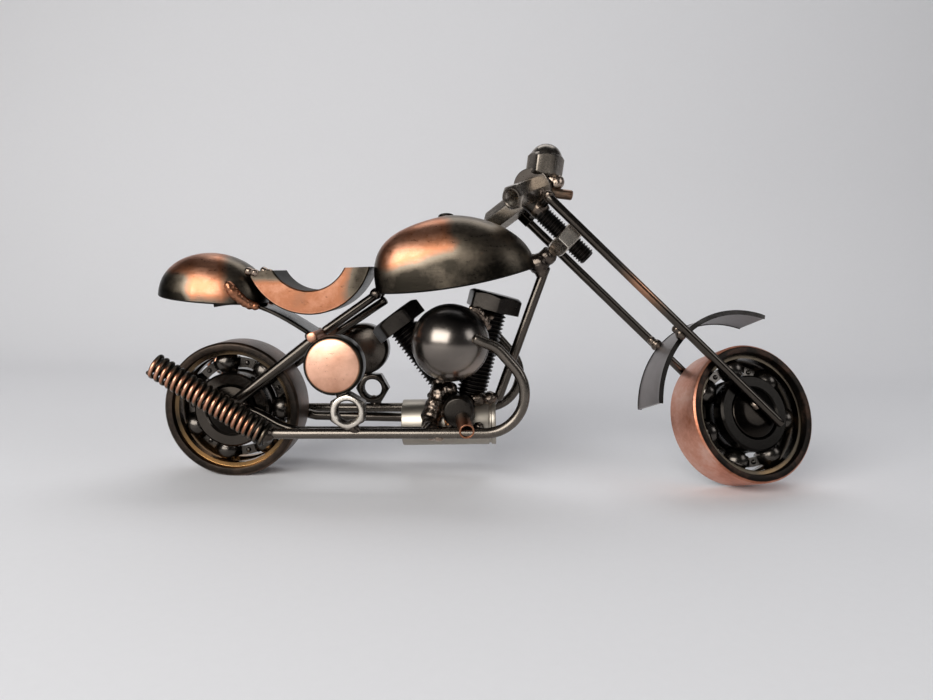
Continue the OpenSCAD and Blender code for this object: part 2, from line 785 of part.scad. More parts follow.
module fork_welds() {
  color(steel) {
    in_fork() beads([[0.2, -fork_half, 3, 1.7], [0.2, fork_half, 2.6, 1.7], [0.3, 0, 2.7, 3.3]]);
    at_front_axle() {
      for (side = [-1, 1]) beads([
        [0.9, side * (fork_hub_half - 0.1), 0.9, 1.7],
        [fork_offset - 0.4, side * (fender_half_w + 0.4), fender_r + 0.4, 1.9],
        [fork_offset - 0.4, side * (fender_half_w + 0.5), fender_r + 1.5, 1.4]
      ]);
    }
  }
}

rear_hub();
rear_inner_ring();
rear_outer_ring();
rear_cage();
rear_balls();
right_stay();
left_stay();
right_strut();
left_strut();
cross_peg();
right_rail();
left_rail();
crankcase();
back_cylinder();
front_cylinder();
right_engine_ball();
left_engine_ball();
stub_bolt();
breather_tube();
right_disc();
left_disc();
right_nut();
left_nut();
right_exhaust();
left_exhaust();
right_muffler();
left_muffler();
seat();
seat_strip();
rear_cowl();
tank();
tank_floor();
filler_cap();
down_tube();
head_nut();
engine_welds();
frame_welds();
steering_bolt();
crown_bar();
right_fork_rod();
left_fork_rod();
left_collar();
fender();
front_hub();
front_inner_ring();
front_outer_ring();
front_cage();
front_balls();
right_grip();
left_grip();
grip_washer();
lamp_nut();
lamp_stem();
lever();
fork_welds();
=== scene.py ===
"""Looks of a chopper figurine welded from bearings, bolts, nuts, springs, rod and pressed shells.

Shapes are written in millimetres in the frame of the CAD model and scaled to metres in add().
"""

import random
from math import acos, asin, atan2, ceil, copysign, cos, degrees, dist, exp, hypot, pi, radians, sin, sqrt, tau

import bmesh
import bpy
from mathutils import Matrix, Vector
from mathutils.noise import noise


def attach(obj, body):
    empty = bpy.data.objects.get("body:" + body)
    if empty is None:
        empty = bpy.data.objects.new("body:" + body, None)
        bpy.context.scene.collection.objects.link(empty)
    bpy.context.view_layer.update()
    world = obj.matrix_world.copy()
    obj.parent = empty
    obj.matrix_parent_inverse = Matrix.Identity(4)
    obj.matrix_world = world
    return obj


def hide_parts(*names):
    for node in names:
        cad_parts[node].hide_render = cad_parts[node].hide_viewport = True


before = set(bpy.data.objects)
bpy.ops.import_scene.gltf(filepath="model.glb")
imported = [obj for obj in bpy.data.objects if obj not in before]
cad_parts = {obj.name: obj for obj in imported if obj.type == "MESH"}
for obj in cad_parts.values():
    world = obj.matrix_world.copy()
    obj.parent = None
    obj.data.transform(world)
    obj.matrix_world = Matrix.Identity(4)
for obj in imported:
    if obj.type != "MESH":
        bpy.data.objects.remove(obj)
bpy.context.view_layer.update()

scene = bpy.context.scene
MM = 0.001

# ---- Sizes, the same as in the CAD model ----

WHEEL_R = 11.0
WHEEL_W = 7.0
EDGE = 0.35
PITCH_R = 7.5
BALL_R = 1.95
BALLS = 7
HEAD = (50.7, 0.0, 42.0)
RAKE = 47.4
STEER = 27.3
FORK_OFFSET = 1.2
FORK_HALF = 4.55
ROD_D = 1.45
EXHAUST_Y = 10.3


def turn(axis, angle):
    return Matrix.Rotation(radians(angle), 4, axis)


def polar(r, a, z):
    return Vector((r * cos(a), r * sin(a), z))


def at(*place):
    return Matrix.Translation(Vector(place))


def along(a, b):
    """Frame at a whose Z axis points to b."""
    v = Vector(b) - Vector(a)
    return (
        at(*a)
        @ turn("Z", degrees(atan2(v.y, v.x)))
        @ turn("Y", degrees(acos(v.z / v.length)))
    )


def local(matrix):
    """Function that brings a point in mm back into a piece's own frame."""
    back = matrix.inverted()
    return lambda p: back @ p


def clamp(value, low=0.0, high=1.0):
    return min(high, max(low, value))


HERE = Matrix.Identity(4)
MIRROR_Y = Matrix.Scale(-1, 4, Vector((0, 1, 0)))
ABOUT_Y = turn("X", 90)
# The turned fork leans the front wheel by CAMBER, STAND is its axle's height when it stands on the edge of
# its tread, and REACH is how far down the fork rods that puts the axle.
CAMBER = asin(sin(radians(STEER)) * sin(radians(RAKE)))
STAND = WHEEL_R * cos(CAMBER) + (WHEEL_W / 2 - EDGE) * sin(CAMBER)
REACH = (
    HEAD[2] - FORK_OFFSET * cos(radians(STEER)) * sin(radians(RAKE)) - STAND
) / cos(radians(RAKE))
STRAIGHT = at(*HEAD) @ turn("Y", -RAKE)
FORK = STRAIGHT @ turn("Z", STEER)
REAR_AXLE = at(0, 0, WHEEL_R)
FRONT_AXLE = FORK @ at(-FORK_OFFSET, 0, -REACH)

# ---- Materials ----


class Nodes:
    """Short hand for building a material's node tree."""

    def __init__(self, name):
        self.material = bpy.data.materials.new(name)
        self.material.use_nodes = True
        self.tree = self.material.node_tree
        self.inputs = self.tree.nodes["Principled BSDF"].inputs
        self.coords = self.add("ShaderNodeTexCoord").outputs["Object"]

    def add(self, kind, **settings):
        node = self.tree.nodes.new(kind)
        for key, value in settings.items():
            setattr(node, key, value)
        return node

    def link(self, source, target):
        self.tree.links.new(source, target)

    def noise(self, x, y, z, detail, rough):
        """Noise over the object's coordinates; x, y and z say how often it changes in a millimetre."""
        mapping = self.add("ShaderNodeMapping")
        mapping.inputs["Scale"].default_value = (x / MM, y / MM, z / MM)
        self.link(self.coords, mapping.inputs["Vector"])
        node = self.add("ShaderNodeTexNoise")
        node.inputs["Scale"].default_value = 1.0
        node.inputs["Detail"].default_value = detail
        node.inputs["Roughness"].default_value = rough
        self.link(mapping.outputs["Vector"], node.inputs["Vector"])
        return node.outputs["Fac"]

    def math(self, operation, a, b, clamp=False):
        node = self.add("ShaderNodeMath", operation=operation, use_clamp=clamp)
        for socket, value in zip(node.inputs, (a, b)):
            if isinstance(value, (int, float)):
                socket.default_value = value
            else:
                self.link(value, socket)
        return node.outputs[0]

    def about_zero(self, value, amount):
        """Noise moved from about 0.5 to about 0, times amount."""
        return self.math("MULTIPLY", self.math("SUBTRACT", value, 0.5), amount)

    def spread(self, value, low, high, to_low=0.0, to_high=1.0):
        node = self.add("ShaderNodeMapRange", clamp=True)
        limits = {"From Min": low, "From Max": high, "To Min": to_low, "To Max": to_high}
        for name, number in limits.items():
            node.inputs[name].default_value = number
        self.link(value, node.inputs["Value"])
        return node.outputs["Result"]

    def ramp(self, value, stops):
        node = self.add("ShaderNodeValToRGB")
        ramp = node.color_ramp
        while len(ramp.elements) < len(stops):
            ramp.elements.new(0.5)
        for element, (place, colour) in zip(ramp.elements, stops):
            element.position = place
            element.color = (*colour, 1)
        self.link(value, node.inputs["Fac"])
        return node.outputs["Color"]

    def attribute(self, name):
        return self.add("ShaderNodeAttribute", attribute_name=name).outputs["Fac"]

    def bump(self, height, strength, depth):
        """Bumps of depth in millimetres on the shader's normal."""
        node = self.add("ShaderNodeBump")
        node.inputs["Strength"].default_value = strength
        node.inputs["Distance"].default_value = depth * MM
        self.link(height, node.inputs["Height"])
        self.link(node.outputs["Normal"], self.inputs["Normal"])


def plating(name, stops, rough, rough_swing=0.12, patch=0.35, streak=None, grain=6.0, bump=0.25, metal=1.0):
    """Worn plating over metal.

    stops is the colour ramp from the bare dark tone to the bright tone. The tint attribute of a piece
    moves along it, and noise in three sizes makes patches, mottling and fine grain.
    """
    n = Nodes(name)
    patches = n.noise(0.22, 0.22, 0.22, 5.0, 0.6)
    mottle = n.noise(1.6, 1.6, 1.6, 4.0, 0.65)
    height = n.noise(grain, grain, grain, 2.0, 0.5)
    shift = n.math("ADD", n.about_zero(patches, patch * 2), n.about_zero(mottle, patch * 0.8))
    tone = n.math("ADD", n.attribute("tint"), shift, clamp=True)
    n.link(n.ramp(tone, stops), n.inputs["Base Color"])
    gloss = n.math("ADD", n.about_zero(mottle, rough_swing * 2), rough)
    if streak:
        lines = n.noise(*streak, 3.0, 0.7)
        gloss = n.math("ADD", gloss, n.about_zero(lines, 0.25))
        height = n.math("ADD", height, n.math("MULTIPLY", lines, 1.6))
    n.link(n.math("MAXIMUM", gloss, 0.04), n.inputs["Roughness"])
    n.inputs["Metallic"].default_value = metal
    n.bump(height, bump, 0.03)
    return n.material


BLACK_NICKEL = plating("black_nickel", [
    (0.0, (0.030, 0.026, 0.022)), (0.45, (0.085, 0.073, 0.062)),
    (0.75, (0.20, 0.125, 0.085)), (1.0, (0.50, 0.25, 0.15)),
], 0.20, patch=0.14)
HUB_BLACK = plating("hub_black", [
    (0.0, (0.010, 0.009, 0.008)), (0.5, (0.035, 0.028, 0.022)), (1.0, (0.22, 0.10, 0.05)),
], 0.22, patch=0.25)
HEAD_DARK = plating("head_dark", [
    (0.0, (0.007, 0.006, 0.006)), (0.5, (0.050, 0.044, 0.038)), (1.0, (0.25, 0.20, 0.165)),
], 0.30, patch=0.16)
# Near-black matt for the inner faces of the seat and shells: painted shade.
INNER_SHADE = plating("inner_shade", [(0.0, (0.010, 0.008, 0.007)), (1.0, (0.05, 0.038, 0.028))], 0.7, patch=0.3, metal=0.0)
GUNMETAL = plating("gunmetal_satin", [
    (0.0, (0.028, 0.025, 0.022)), (0.4, (0.095, 0.085, 0.075)),
    (0.75, (0.22, 0.185, 0.155)), (1.0, (0.42, 0.30, 0.22)),
], 0.24, patch=0.10)
FENDER_GREY = plating("fender_grey", [
    (0.0, (0.020, 0.018, 0.016)), (0.5, (0.27, 0.25, 0.245)), (1.0, (0.40, 0.37, 0.36)),
], 0.42, patch=0.16, grain=4.0)
NICKEL = plating("nickel_satin", [
    (0.0, (0.050, 0.043, 0.036)), (0.4, (0.19, 0.165, 0.14)),
    (0.75, (0.46, 0.415, 0.36)), (1.0, (0.72, 0.66, 0.58)),
], 0.27, rough_swing=0.04, patch=0.10, grain=3.0, bump=0.1)
COPPER = plating("copper_brushed", [
    (0.0, (0.020, 0.017, 0.013)), (0.3, (0.140, 0.114, 0.086)),
    (0.6, (0.36, 0.145, 0.075)), (1.0, (0.84, 0.49, 0.35)),
], 0.33, patch=0.18, streak=(0.35, 0.35, 7.0))
TREAD_COPPER = plating("copper_matt", [
    (0.0, (0.018, 0.015, 0.013)), (0.30, (0.11, 0.060, 0.042)), (0.55, (0.40, 0.150, 0.085)),
    (0.8, (0.62, 0.30, 0.21)), (1.0, (0.72, 0.45, 0.36)),
], 0.40, patch=0.42, grain=9.0, bump=0.5)
REAR_TREAD = plating("rear_tread", [
    (0.0, (0.024, 0.020, 0.017)), (0.4, (0.10, 0.068, 0.050)),
    (0.7, (0.24, 0.125, 0.08)), (1.0, (0.50, 0.29, 0.21)),
], 0.36, patch=0.30, grain=9.0, bump=0.5)
CASE_GREY = plating("case_grey", [
    (0.0, (0.05, 0.043, 0.036)), (0.5, (0.34, 0.305, 0.26)), (1.0, (0.60, 0.55, 0.47)),
], 0.38, rough_swing=0.06, patch=0.10, grain=5.0)
POLISHED = plating("polished_ball", [
    (0.0, (0.022, 0.020, 0.019)), (0.5, (0.235, 0.207, 0.183)), (1.0, (0.42, 0.285, 0.21)),
], 0.24, rough_swing=0.05, patch=0.10, grain=3.0, bump=0.05)
RACE_AMBER = plating("race_amber", [
    (0.0, (0.045, 0.036, 0.026)), (0.5, (0.21, 0.125, 0.055)), (1.0, (0.46, 0.24, 0.085)),
], 0.22, patch=0.22)


def weld_material():
    """Shiny lumpy filler. The rust attribute brings out dull orange patches."""
    n = Nodes("weld_filler")
    patches = n.noise(0.45, 0.45, 0.45, 5.0, 0.65)
    fine = n.noise(2.6, 2.6, 2.6, 5.0, 0.7)
    tone = n.math("ADD", n.attribute("tint"), n.about_zero(patches, 1.1), clamp=True)
    bare = n.ramp(tone, [
        (0.0, (0.030, 0.025, 0.021)), (0.45, (0.105, 0.085, 0.070)),
        (0.7, (0.24, 0.185, 0.145)), (1.0, (0.50, 0.40, 0.33)),
    ])
    orange = n.ramp(fine, [(0.35, (0.20, 0.062, 0.018)), (0.65, (0.62, 0.24, 0.06))])
    rust = n.spread(n.math("ADD", fine, n.attribute("rust")), 0.98, 1.16)
    blend = n.add("ShaderNodeMix", data_type="RGBA")
    n.link(rust, blend.inputs["Factor"])
    n.link(bare, blend.inputs["A"])
    n.link(orange, blend.inputs["B"])
    n.link(blend.outputs["Result"], n.inputs["Base Color"])
    n.link(n.spread(rust, 0, 1, 1.0, 0.25), n.inputs["Metallic"])
    gloss = n.math("ADD", n.spread(fine, 0.3, 0.7, 0.17, 0.30), n.math("MULTIPLY", rust, 0.35))
    n.link(gloss, n.inputs["Roughness"])
    n.bump(fine, 0.5, 0.08)
    return n.material


WELD = weld_material()

# ---- Mesh helpers: a shape is (points, faces) in millimetres ----


def between(rows, n):
    """Faces that join rows of n points each, every row closed on itself."""
    faces = []
    for j in range(rows - 1):
        for i in range(n):
            m = (i + 1) % n
            faces.append([j * n + i, j * n + m, (j + 1) * n + m, (j + 1) * n + i])
    return faces


def end_caps(rows, n):
    """One face over the first row and one over the last."""
    return [list(range(n))[::-1], [(rows - 1) * n + i for i in range(n)]]


def lathe(profile, steps=64):
    """Turns a profile of (radius, height), given from the bottom outwards and up, about Z."""
    points, rows = [], []
    for r, z in profile:
        if r < 1e-6:
            rows.append([len(points)] * steps)
            points.append(Vector((0, 0, z)))
        else:
            rows.append(list(range(len(points), len(points) + steps)))
            angles = [tau * i / steps for i in range(steps)]
            points += [polar(r, a, z) for a in angles]
    faces = []
    for low, high in zip(rows, rows[1:]):
        for i in range(steps):
            j = (i + 1) % steps
            face = list(dict.fromkeys((low[i], low[j], high[j], high[i])))
            if len(face) > 2:
                faces.append(face)
    return points, faces


def rounded(points, radius, count=3, closed=False):
    """Rounds the corners of a path in two or three dimensions."""
    path = [Vector(p) for p in points]
    made = []
    last = len(path) - 1
    for i, p in enumerate(path):
        if not closed and i in (0, last):
            made.append(p)
            continue
        a, b = path[i - 1], path[(i + 1) % len(path)]
        r = min(radius, (a - p).length * 0.45, (b - p).length * 0.45)
        start = p + (a - p).normalized() * r
        end = p + (b - p).normalized() * r
        for k in range(count + 1):
            t = k / count
            made.append(start * (1 - t) ** 2 + p * (2 * t * (1 - t)) + end * t * t)
    return made


def turned(profile, radius=0.12, steps=64, closed=False):
    """A lathe piece with softened corners. A closed profile makes a ring."""
    path = rounded([(r, z) for r, z in profile], radius, 3, closed)
    if closed:
        path.append(path[0])
    return lathe([(p.x, p.y) for p in path], steps)


DOME = 0.35  # height of a bar's domed end, as a share of its radius
END_RINGS = ((0.0, 0.55), (0.35, 0.88))  # share of the dome from its tip, and share of the width there


def sweep(path, d, sides, wobble=0.0, seed=0):
    """Round bar along a path, with slightly domed ends and a little unevenness."""
    path = [Vector(p) for p in path]
    last = len(path) - 1
    tangents = [(path[min(i + 1, last)] - path[max(i - 1, 0)]).normalized() for i in range(len(path))]
    side = tangents[0].orthogonal().normalized()
    r = d / 2
    dome = DOME * r
    rings = [(path[0] + tangents[0] * dome * up, wide, 0) for up, wide in END_RINGS]
    rings.append((path[0] + tangents[0] * dome, 1.0, 0))
    rings += [(p, 1.0, i) for i, p in enumerate(path) if 0 < i < last]
    rings.append((path[-1] - tangents[-1] * dome, 1.0, last))
    rings += [(path[-1] - tangents[-1] * dome * up, wide, last) for up, wide in END_RINGS[::-1]]
    points = []
    before = tangents[0]
    for centre, scale, i in rings:
        side = before.rotation_difference(tangents[i]) @ side
        before = tangents[i]
        other = tangents[i].cross(side)
        for k in range(sides):
            a = tau * k / sides
            out = side * cos(a) + other * sin(a)
            lump = wobble * noise(centre * 0.5 + out + Vector((seed, 0, 0)))
            points.append(centre + out * (r * scale - abs(lump)))
    return points, between(len(rings), sides) + end_caps(len(rings), sides)


def subdivided(a, b, step=1.0):
    a, b = Vector(a), Vector(b)
    n = max(2, round((b - a).length / step))
    return [a.lerp(b, i / n) for i in range(n + 1)]


THREAD_RUN_OUT = 0.12  # how far below its root the thread ends, so both ends taper in


def threaded(d, root, pitch, low, high, cols=40):
    """Shank with a true helical thread. Rows follow the helix, so crests and roots stay crisp."""
    offsets = ((0.0, d / 2), (0.14, d / 2), (0.46, root / 2), (0.68, root / 2))
    per_turn = len(offsets)
    rows = (ceil((high - low) / pitch) + 2) * per_turn
    end_r = root / 2 - THREAD_RUN_OUT
    points, faces = [], []
    for k in range(rows):
        share, r = offsets[k % per_turn]
        for i in range(cols):
            z = clamp(low + pitch * (k // per_turn + share + i / cols - 1), low, high)
            radius = min(r, end_r + (z - low), end_r + (high - z))
            points.append(polar(radius, tau * i / cols, z))
    for k in range(rows - per_turn - 1):
        low_row, high_row = k * cols, (k + 1) * cols
        for i in range(cols - 1):
            faces.append([low_row + i, low_row + i + 1, high_row + i + 1, high_row + i])
        seam, above = (k + per_turn) * cols, (k + per_turn + 1) * cols
        faces.append([low_row + cols - 1, seam, above, high_row + cols - 1])
    return points, faces


def hex_outline(af, corner, arc=4, flat=4):
    """Hexagon with rounded corners, a flat facing +Y."""
    inner = (af / 2 - corner) / cos(radians(30))

    def corner_point(centre_angle, angle):
        centre = inner * Vector((cos(centre_angle), sin(centre_angle)))
        return centre + corner * Vector((cos(angle), sin(angle)))

    made = []
    for c in range(6):
        here, after = radians(60 * c), radians(60 * (c + 1))
        made += [corner_point(here, here + radians(-30 + 60 * k / arc)) for k in range(arc + 1)]
        start, end = made[-1], corner_point(after, after - radians(30))
        made += [start.lerp(end, k / flat) for k in range(1, flat)]
    return made


HEX_SOFT = 0.06  # how far the edges of a hex body are softened
CHAMFER = 0.577  # slope of the usual 30 degree chamfer


def hex_body(af, h, top=(0.475, CHAMFER), bottom=None, corner=0.25, bore=0.0, mouth=0.0, depth=None,
             pitch=0.5, spin=0.0):
    """Hex head, nut or sleeve from z = 0 to h.

    top and bottom give the flat face's radius as a share of af and the slope of the chamfer round it.
    A bore goes right through, or down from the top by depth, with thread grooves in its wall.
    """
    outline = hex_outline(af, corner)
    n = len(outline)

    def circle(r, z):
        return [Vector((p.normalized().x * r, p.normalized().y * r, z)) for p in outline]

    def hex_ring(rising, inset=0.0, shift=0.0):
        face = top if rising else bottom
        ring = []
        for p in outline:
            q = p * (1 - inset / p.length)
            cut = max(0.0, p.length - af * face[0]) * face[1] if face else 0.0
            ring.append(Vector((q.x, q.y, (h - cut if rising else cut) + shift)))
        return ring

    rings = [
        circle(af * bottom[0] if bottom else af / 2 - 0.3, 0),
        hex_ring(False, HEX_SOFT, -HEX_SOFT * 0.4 if bottom else 0.0),
        hex_ring(False, 0.0, HEX_SOFT),
        hex_ring(True, 0.0, -HEX_SOFT),
        hex_ring(True, HEX_SOFT, HEX_SOFT * 0.4),
        circle(af * top[0] + 0.03, h - 0.03),
        circle(af * top[0] - 0.07, h),
    ]
    if bore:
        slope = (mouth - bore) / 2 + 0.04
        rings += [circle(mouth / 2 + 0.06, h), circle(mouth / 2, h - 0.04)]
        floor = h - depth if depth else slope
        z = h - slope
        while z - pitch > floor:
            groove_r = bore / 2 + pitch * 0.3
            rings += [circle(bore / 2, z), circle(bore / 2, z - pitch * 0.15)]
            rings += [circle(groove_r, z - pitch * 0.5), circle(groove_r, z - pitch * 0.65)]
            z -= pitch
        rings.append(circle(bore / 2, floor))
        if not depth:
            rings += [circle(mouth / 2, 0.04), circle(mouth / 2 + 0.06, 0.0)]
    points = [p for ring in rings for p in ring]
    faces = between(len(rings), n)
    if bore and not depth:
        j = len(rings) - 1
        faces += [[j * n + i, j * n + (i + 1) % n, (i + 1) % n, i] for i in range(n)]
    else:
        faces += end_caps(len(rings), n)
    spun = turn("Z", spin)
    return [spun @ p for p in points], faces


def signed_power(value, power):
    return copysign(abs(value) ** power, value)


def pod_point(size, ends, sag, around, up):
    """Point of a rounded shell. ends are its squareness at the front and the rear, and sag bows its rim."""
    a, b, h = size
    front, rear = ends
    p = 2 / (rear + (front - rear) * (1 + cos(around)) / 2)
    reach = max(cos(up), 0.0) ** p
    x = a * reach * signed_power(cos(around), p)
    y = b * reach * signed_power(sin(around), p)
    return Vector((x, y, h * sin(up) ** p - sag * (1 - (x / a) ** 2) * reach))


SHELL_WALL = 0.7
DENT = 0.05  # depth of the hand beaten unevenness
LIP = 0.25  # how far the rolled rim hangs below the shell


def pod(size, ends, sag, cols=120, rows=34):
    """Pressed shell, open below, with a rounded rim and slightly uneven hand beaten faces."""
    def skin(own_size):
        around = [tau * (i + 0.5) / cols for i in range(cols)]
        return [[pod_point(own_size, ends, sag, a, pi / 2 * j / rows) for a in around] for j in range(rows)]

    h = size[2]
    outer, inner = skin(size), skin(tuple(v - SHELL_WALL for v in size))
    rim = []
    for t in (0.15, 0.5, 0.85):
        drop = Vector((0, 0, LIP * sin(pi * t)))
        rim.append([inner[0][i].lerp(outer[0][i], 1 - t) - drop for i in range(cols)])
    stack = inner[::-1] + rim + outer
    points = []
    for ring in stack:
        for p in ring:
            lump = DENT * noise(p * 0.22 + Vector((7, 1, 3)))
            points.append(p - p.normalized() * abs(lump))
    faces = between(len(stack), cols)
    low = len(points)
    points += [Vector((0, 0, h - SHELL_WALL)), Vector((0, 0, h))]
    top = (len(stack) - 1) * cols
    faces += [[low, (i + 1) % cols, i] for i in range(cols)]
    faces += [[top + i, top + (i + 1) % cols, low + 1] for i in range(cols)]
    return points, faces


def extruded(outline, half_w, soft, y_steps):
    """Flat outline in the XZ plane, given thickness along Y, with softened long edges."""
    n = len(outline)
    inwards = []
    for i in range(n):
        d = (Vector(outline[(i + 1) % n]) - Vector(outline[i - 1])).normalized()
        inwards.append(Vector((-d.y, d.x)))
    levels = [(-half_w, soft), (-half_w + soft * 0.3, soft * 0.3), (-half_w + soft, 0.0)]
    levels += [(-half_w + soft + (2 * half_w - 2 * soft) * k / y_steps, 0.0) for k in range(1, y_steps)]
    levels += [(half_w - soft, 0.0), (half_w - soft * 0.3, soft * 0.3), (half_w, soft)]
    points = []
    for y, inset in levels:
        for p, inward in zip(outline, inwards):
            q = Vector(p) + inward * inset
            points.append(Vector((q.x, y, q.y)))
    return points, between(len(levels), n) + end_caps(len(levels), n)


def joined(*shapes):
    """Several shapes as one. A matrix after a shape's points and faces moves it first."""
    points, faces = [], []
    for own, own_faces, *moves in shapes:
        matrix = moves[0] if moves else HERE
        base = len(points)
        points += [matrix @ p for p in own]
        faces += [[base + i for i in f] for f in own_faces]
    return points, faces


# ---- Making pieces ----


def new_object(name, data):
    obj = bpy.data.objects.new(name, data)
    scene.collection.objects.link(obj)
    return obj


def dress(mesh, tint, rust):
    """Writes the attributes that the materials read: each is a number or a function of a point in mm."""
    for name, source in (("tint", tint), ("rust", rust)):
        layer = mesh.attributes.new(name, "FLOAT", "POINT")
        for i, v in enumerate(mesh.vertices):
            layer.data[i].value = source(v.co / MM) if callable(source) else source


def add(node, shape, matrix, material, body, tint, rust=0.0, sharp=35, fill=False, inside=None):
    """Makes the visible piece of one CAD node from a shape in mm and puts it on its body.

    fill closes open ends, and inside is a second material with a test of a face's centre and normal.
    """
    points, faces = shape
    name = node + "_detail"
    mesh = bpy.data.meshes.new(name)
    mesh.from_pydata([(matrix @ p) * MM for p in points], [], faces)
    bm = bmesh.new()
    bm.from_mesh(mesh)
    bmesh.ops.remove_doubles(bm, verts=bm.verts, dist=0.002 * MM)
    if fill:
        bmesh.ops.holes_fill(bm, edges=[e for e in bm.edges if e.is_boundary], sides=0)
    bmesh.ops.recalc_face_normals(bm, faces=bm.faces)
    bm.to_mesh(mesh)
    bm.free()
    mesh.materials.append(material)
    mesh.shade_smooth()
    mesh.set_sharp_from_angle(angle=radians(sharp))
    if inside:
        other, test = inside
        mesh.materials.append(other)
        for face in mesh.polygons:
            if test(face.center / MM, face.normal):
                face.material_index = 1
    dress(mesh, tint, rust)
    obj = new_object(name, mesh)
    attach(obj, body)
    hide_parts(node)


def ball_shape(r, steps, rows):
    """Ball with a faint polishing land at each pole."""
    pole = r * 0.999
    angles = [pi * (-0.5 + k / rows) for k in range(1, rows)]
    return lathe([(0.0, -pole)] + [(r * cos(a), r * sin(a)) for a in angles] + [(0.0, pole)], steps)


SPLASHES = 3  # small spheres on each bead
MELT_PASSES = 7


def weld_shape(beads, seed, voxel=0.16, rough=0.16):
    """Beads of filler melted into each other: spheres, remeshed as one skin and roughened."""
    dice = random.Random(seed)
    bm = bmesh.new()
    for x, y, z, d in beads:
        squash = Matrix.Diagonal((dice.uniform(0.92, 1.06), dice.uniform(0.92, 1.06), dice.uniform(0.92, 1.06), 1))
        bmesh.ops.create_icosphere(bm, subdivisions=3, radius=d / 2, matrix=at(x, y, z) @ squash)
        for _ in range(SPLASHES):
            out = Vector((dice.uniform(-1, 1), dice.uniform(-1, 1), dice.uniform(-1, 1))).normalized() * d * 0.36
            small = d * dice.uniform(0.14, 0.20)
            bmesh.ops.create_icosphere(bm, subdivisions=2, radius=small, matrix=at(x + out.x, y + out.y, z + out.z))
    mesh = bpy.data.meshes.new("bead_source")
    bm.to_mesh(mesh)
    bm.free()
    source = new_object("bead_source", mesh)
    remesh = source.modifiers.new("skin", "REMESH")
    remesh.mode = "VOXEL"
    remesh.voxel_size = voxel
    source.modifiers.new("melt", "SMOOTH").iterations = MELT_PASSES
    skin = bpy.data.meshes.new_from_object(source.evaluated_get(bpy.context.evaluated_depsgraph_get()))
    points = []
    for v in skin.vertices:
        lump = noise(v.co * 0.9 + Vector((seed, 0, 0))) + 0.5 * noise(v.co * 2.1 + Vector((0, seed, 0)))
        points.append(v.co + v.normal * rough * lump)
    faces = [list(p.vertices) for p in skin.polygons]
    bpy.data.objects.remove(source)
    bpy.data.meshes.remove(skin)
    return points, faces


# ---- Wheel bearings ----

HALF_W = WHEEL_W / 2
BORE_R = 4.0
RACE_R = BALL_R + 0.05
RECESS_R = 9.6
RECESS_DEEP = 0.9
OUTER_SHOULDER = 8.95
INNER_SHOULDER = 6.05
RING_STEPS = 96


def arc_points(centre, r, start, end, count):
    angles = [radians(start + (end - start) * k / count) for k in range(count + 1)]
    return [(centre[0] + r * cos(a), centre[1] + r * sin(a)) for a in angles]


def race_arc(shoulder, facing):
    """The ball race in a cut through a ring. facing is 0 for the outer ring and 180 for the inner one."""
    reach = degrees(asin(sqrt(RACE_R**2 - (shoulder - PITCH_R) ** 2) / RACE_R))
    return [Vector(p) for p in arc_points((PITCH_R, 0), RACE_R, facing + reach, facing - reach, 12)]


def ring_shape(path):
    return lathe([(p.x, p.y) for p in path + path[:1]], RING_STEPS)


def outer_ring_shape():
    """Outer ring with the recess for a shield in each face and the ball race inside."""
    low_half = [
        (OUTER_SHOULDER, -HALF_W + RECESS_DEEP), (RECESS_R, -HALF_W + RECESS_DEEP), (RECESS_R + 0.12, -HALF_W),
        (WHEEL_R - EDGE, -HALF_W), (WHEEL_R, -HALF_W + EDGE),
    ]
    return ring_shape(rounded(low_half + [(r, -z) for r, z in low_half[::-1]], 0.1, 2) + race_arc(OUTER_SHOULDER, 0))


def inner_ring_shape():
    edge = 0.3
    low_half = [Vector(p) for p in (
        (BORE_R, -HALF_W + edge), (BORE_R + edge, -HALF_W), (INNER_SHOULDER - edge, -HALF_W),
        (INNER_SHOULDER, -HALF_W + edge))]
    return ring_shape(low_half + race_arc(INNER_SHOULDER, 180) + [Vector((p.x, -p.y)) for p in low_half[::-1]])


def hub_shape(half):
    """Plug in the inner ring, drawn in to a blunt cone at both ends."""
    tip_r, plug_r, plug_half = 2.2, BORE_R - 0.01, HALF_W - 0.1
    return turned(
        [(0, -half), (tip_r, -half), (plug_r, -plug_half), (plug_r, plug_half), (tip_r, half), (0, half)], 0.3)


def cage_ribbon(side):
    """One pressed ribbon, cupped over the balls."""
    sheet = 0.26
    cup = BALL_R + 0.07 + sheet / 2
    steps, across = BALLS * 30, (-0.75, -0.5, -0.25, 0, 0.25, 0.5, 0.75)
    n = len(across)
    points, faces = [], []
    for i in range(steps):
        a = tau * i / steps
        from_ball = (a * BALLS / tau + 0.5) % 1 - 0.5
        past = PITCH_R * sin(from_ball * tau / BALLS)
        for w in across:
            z = max(sheet * 0.55, sqrt(max(0.0, cup**2 - past**2 - w * w)))
            for lift in (-sheet / 2, sheet / 2):
                points.append(polar(PITCH_R + w, a, side * (z + lift)))

    def index(i, k, layer):
        return ((i % steps) * n + k) * 2 + layer

    for i in range(steps):
        for layer in (0, 1):
            for k in range(n - 1):
                faces.append([index(i, k, layer), index(i + 1, k, layer),
                              index(i + 1, k + 1, layer), index(i, k + 1, layer)])
        for k in (0, n - 1):
            faces.append([index(i, k, 0), index(i + 1, k, 0), index(i + 1, k, 1), index(i, k, 1)])
    return points, faces


def cage_shape():
    """Two ribbons back to back, riveted between the balls. Drawn about Z."""
    rivet = turned([(0, -0.62), (0.3, -0.55), (0.42, -0.3), (0.42, 0.3), (0.3, 0.55), (0, 0.62)], 0.1, 16)
    places = [turn("Z", 360 * (i + 0.5) / BALLS) @ at(PITCH_R, 0, 0) for i in range(BALLS)]
    return joined(cage_ribbon(-1), cage_ribbon(1), *[(*rivet, place) for place in places])


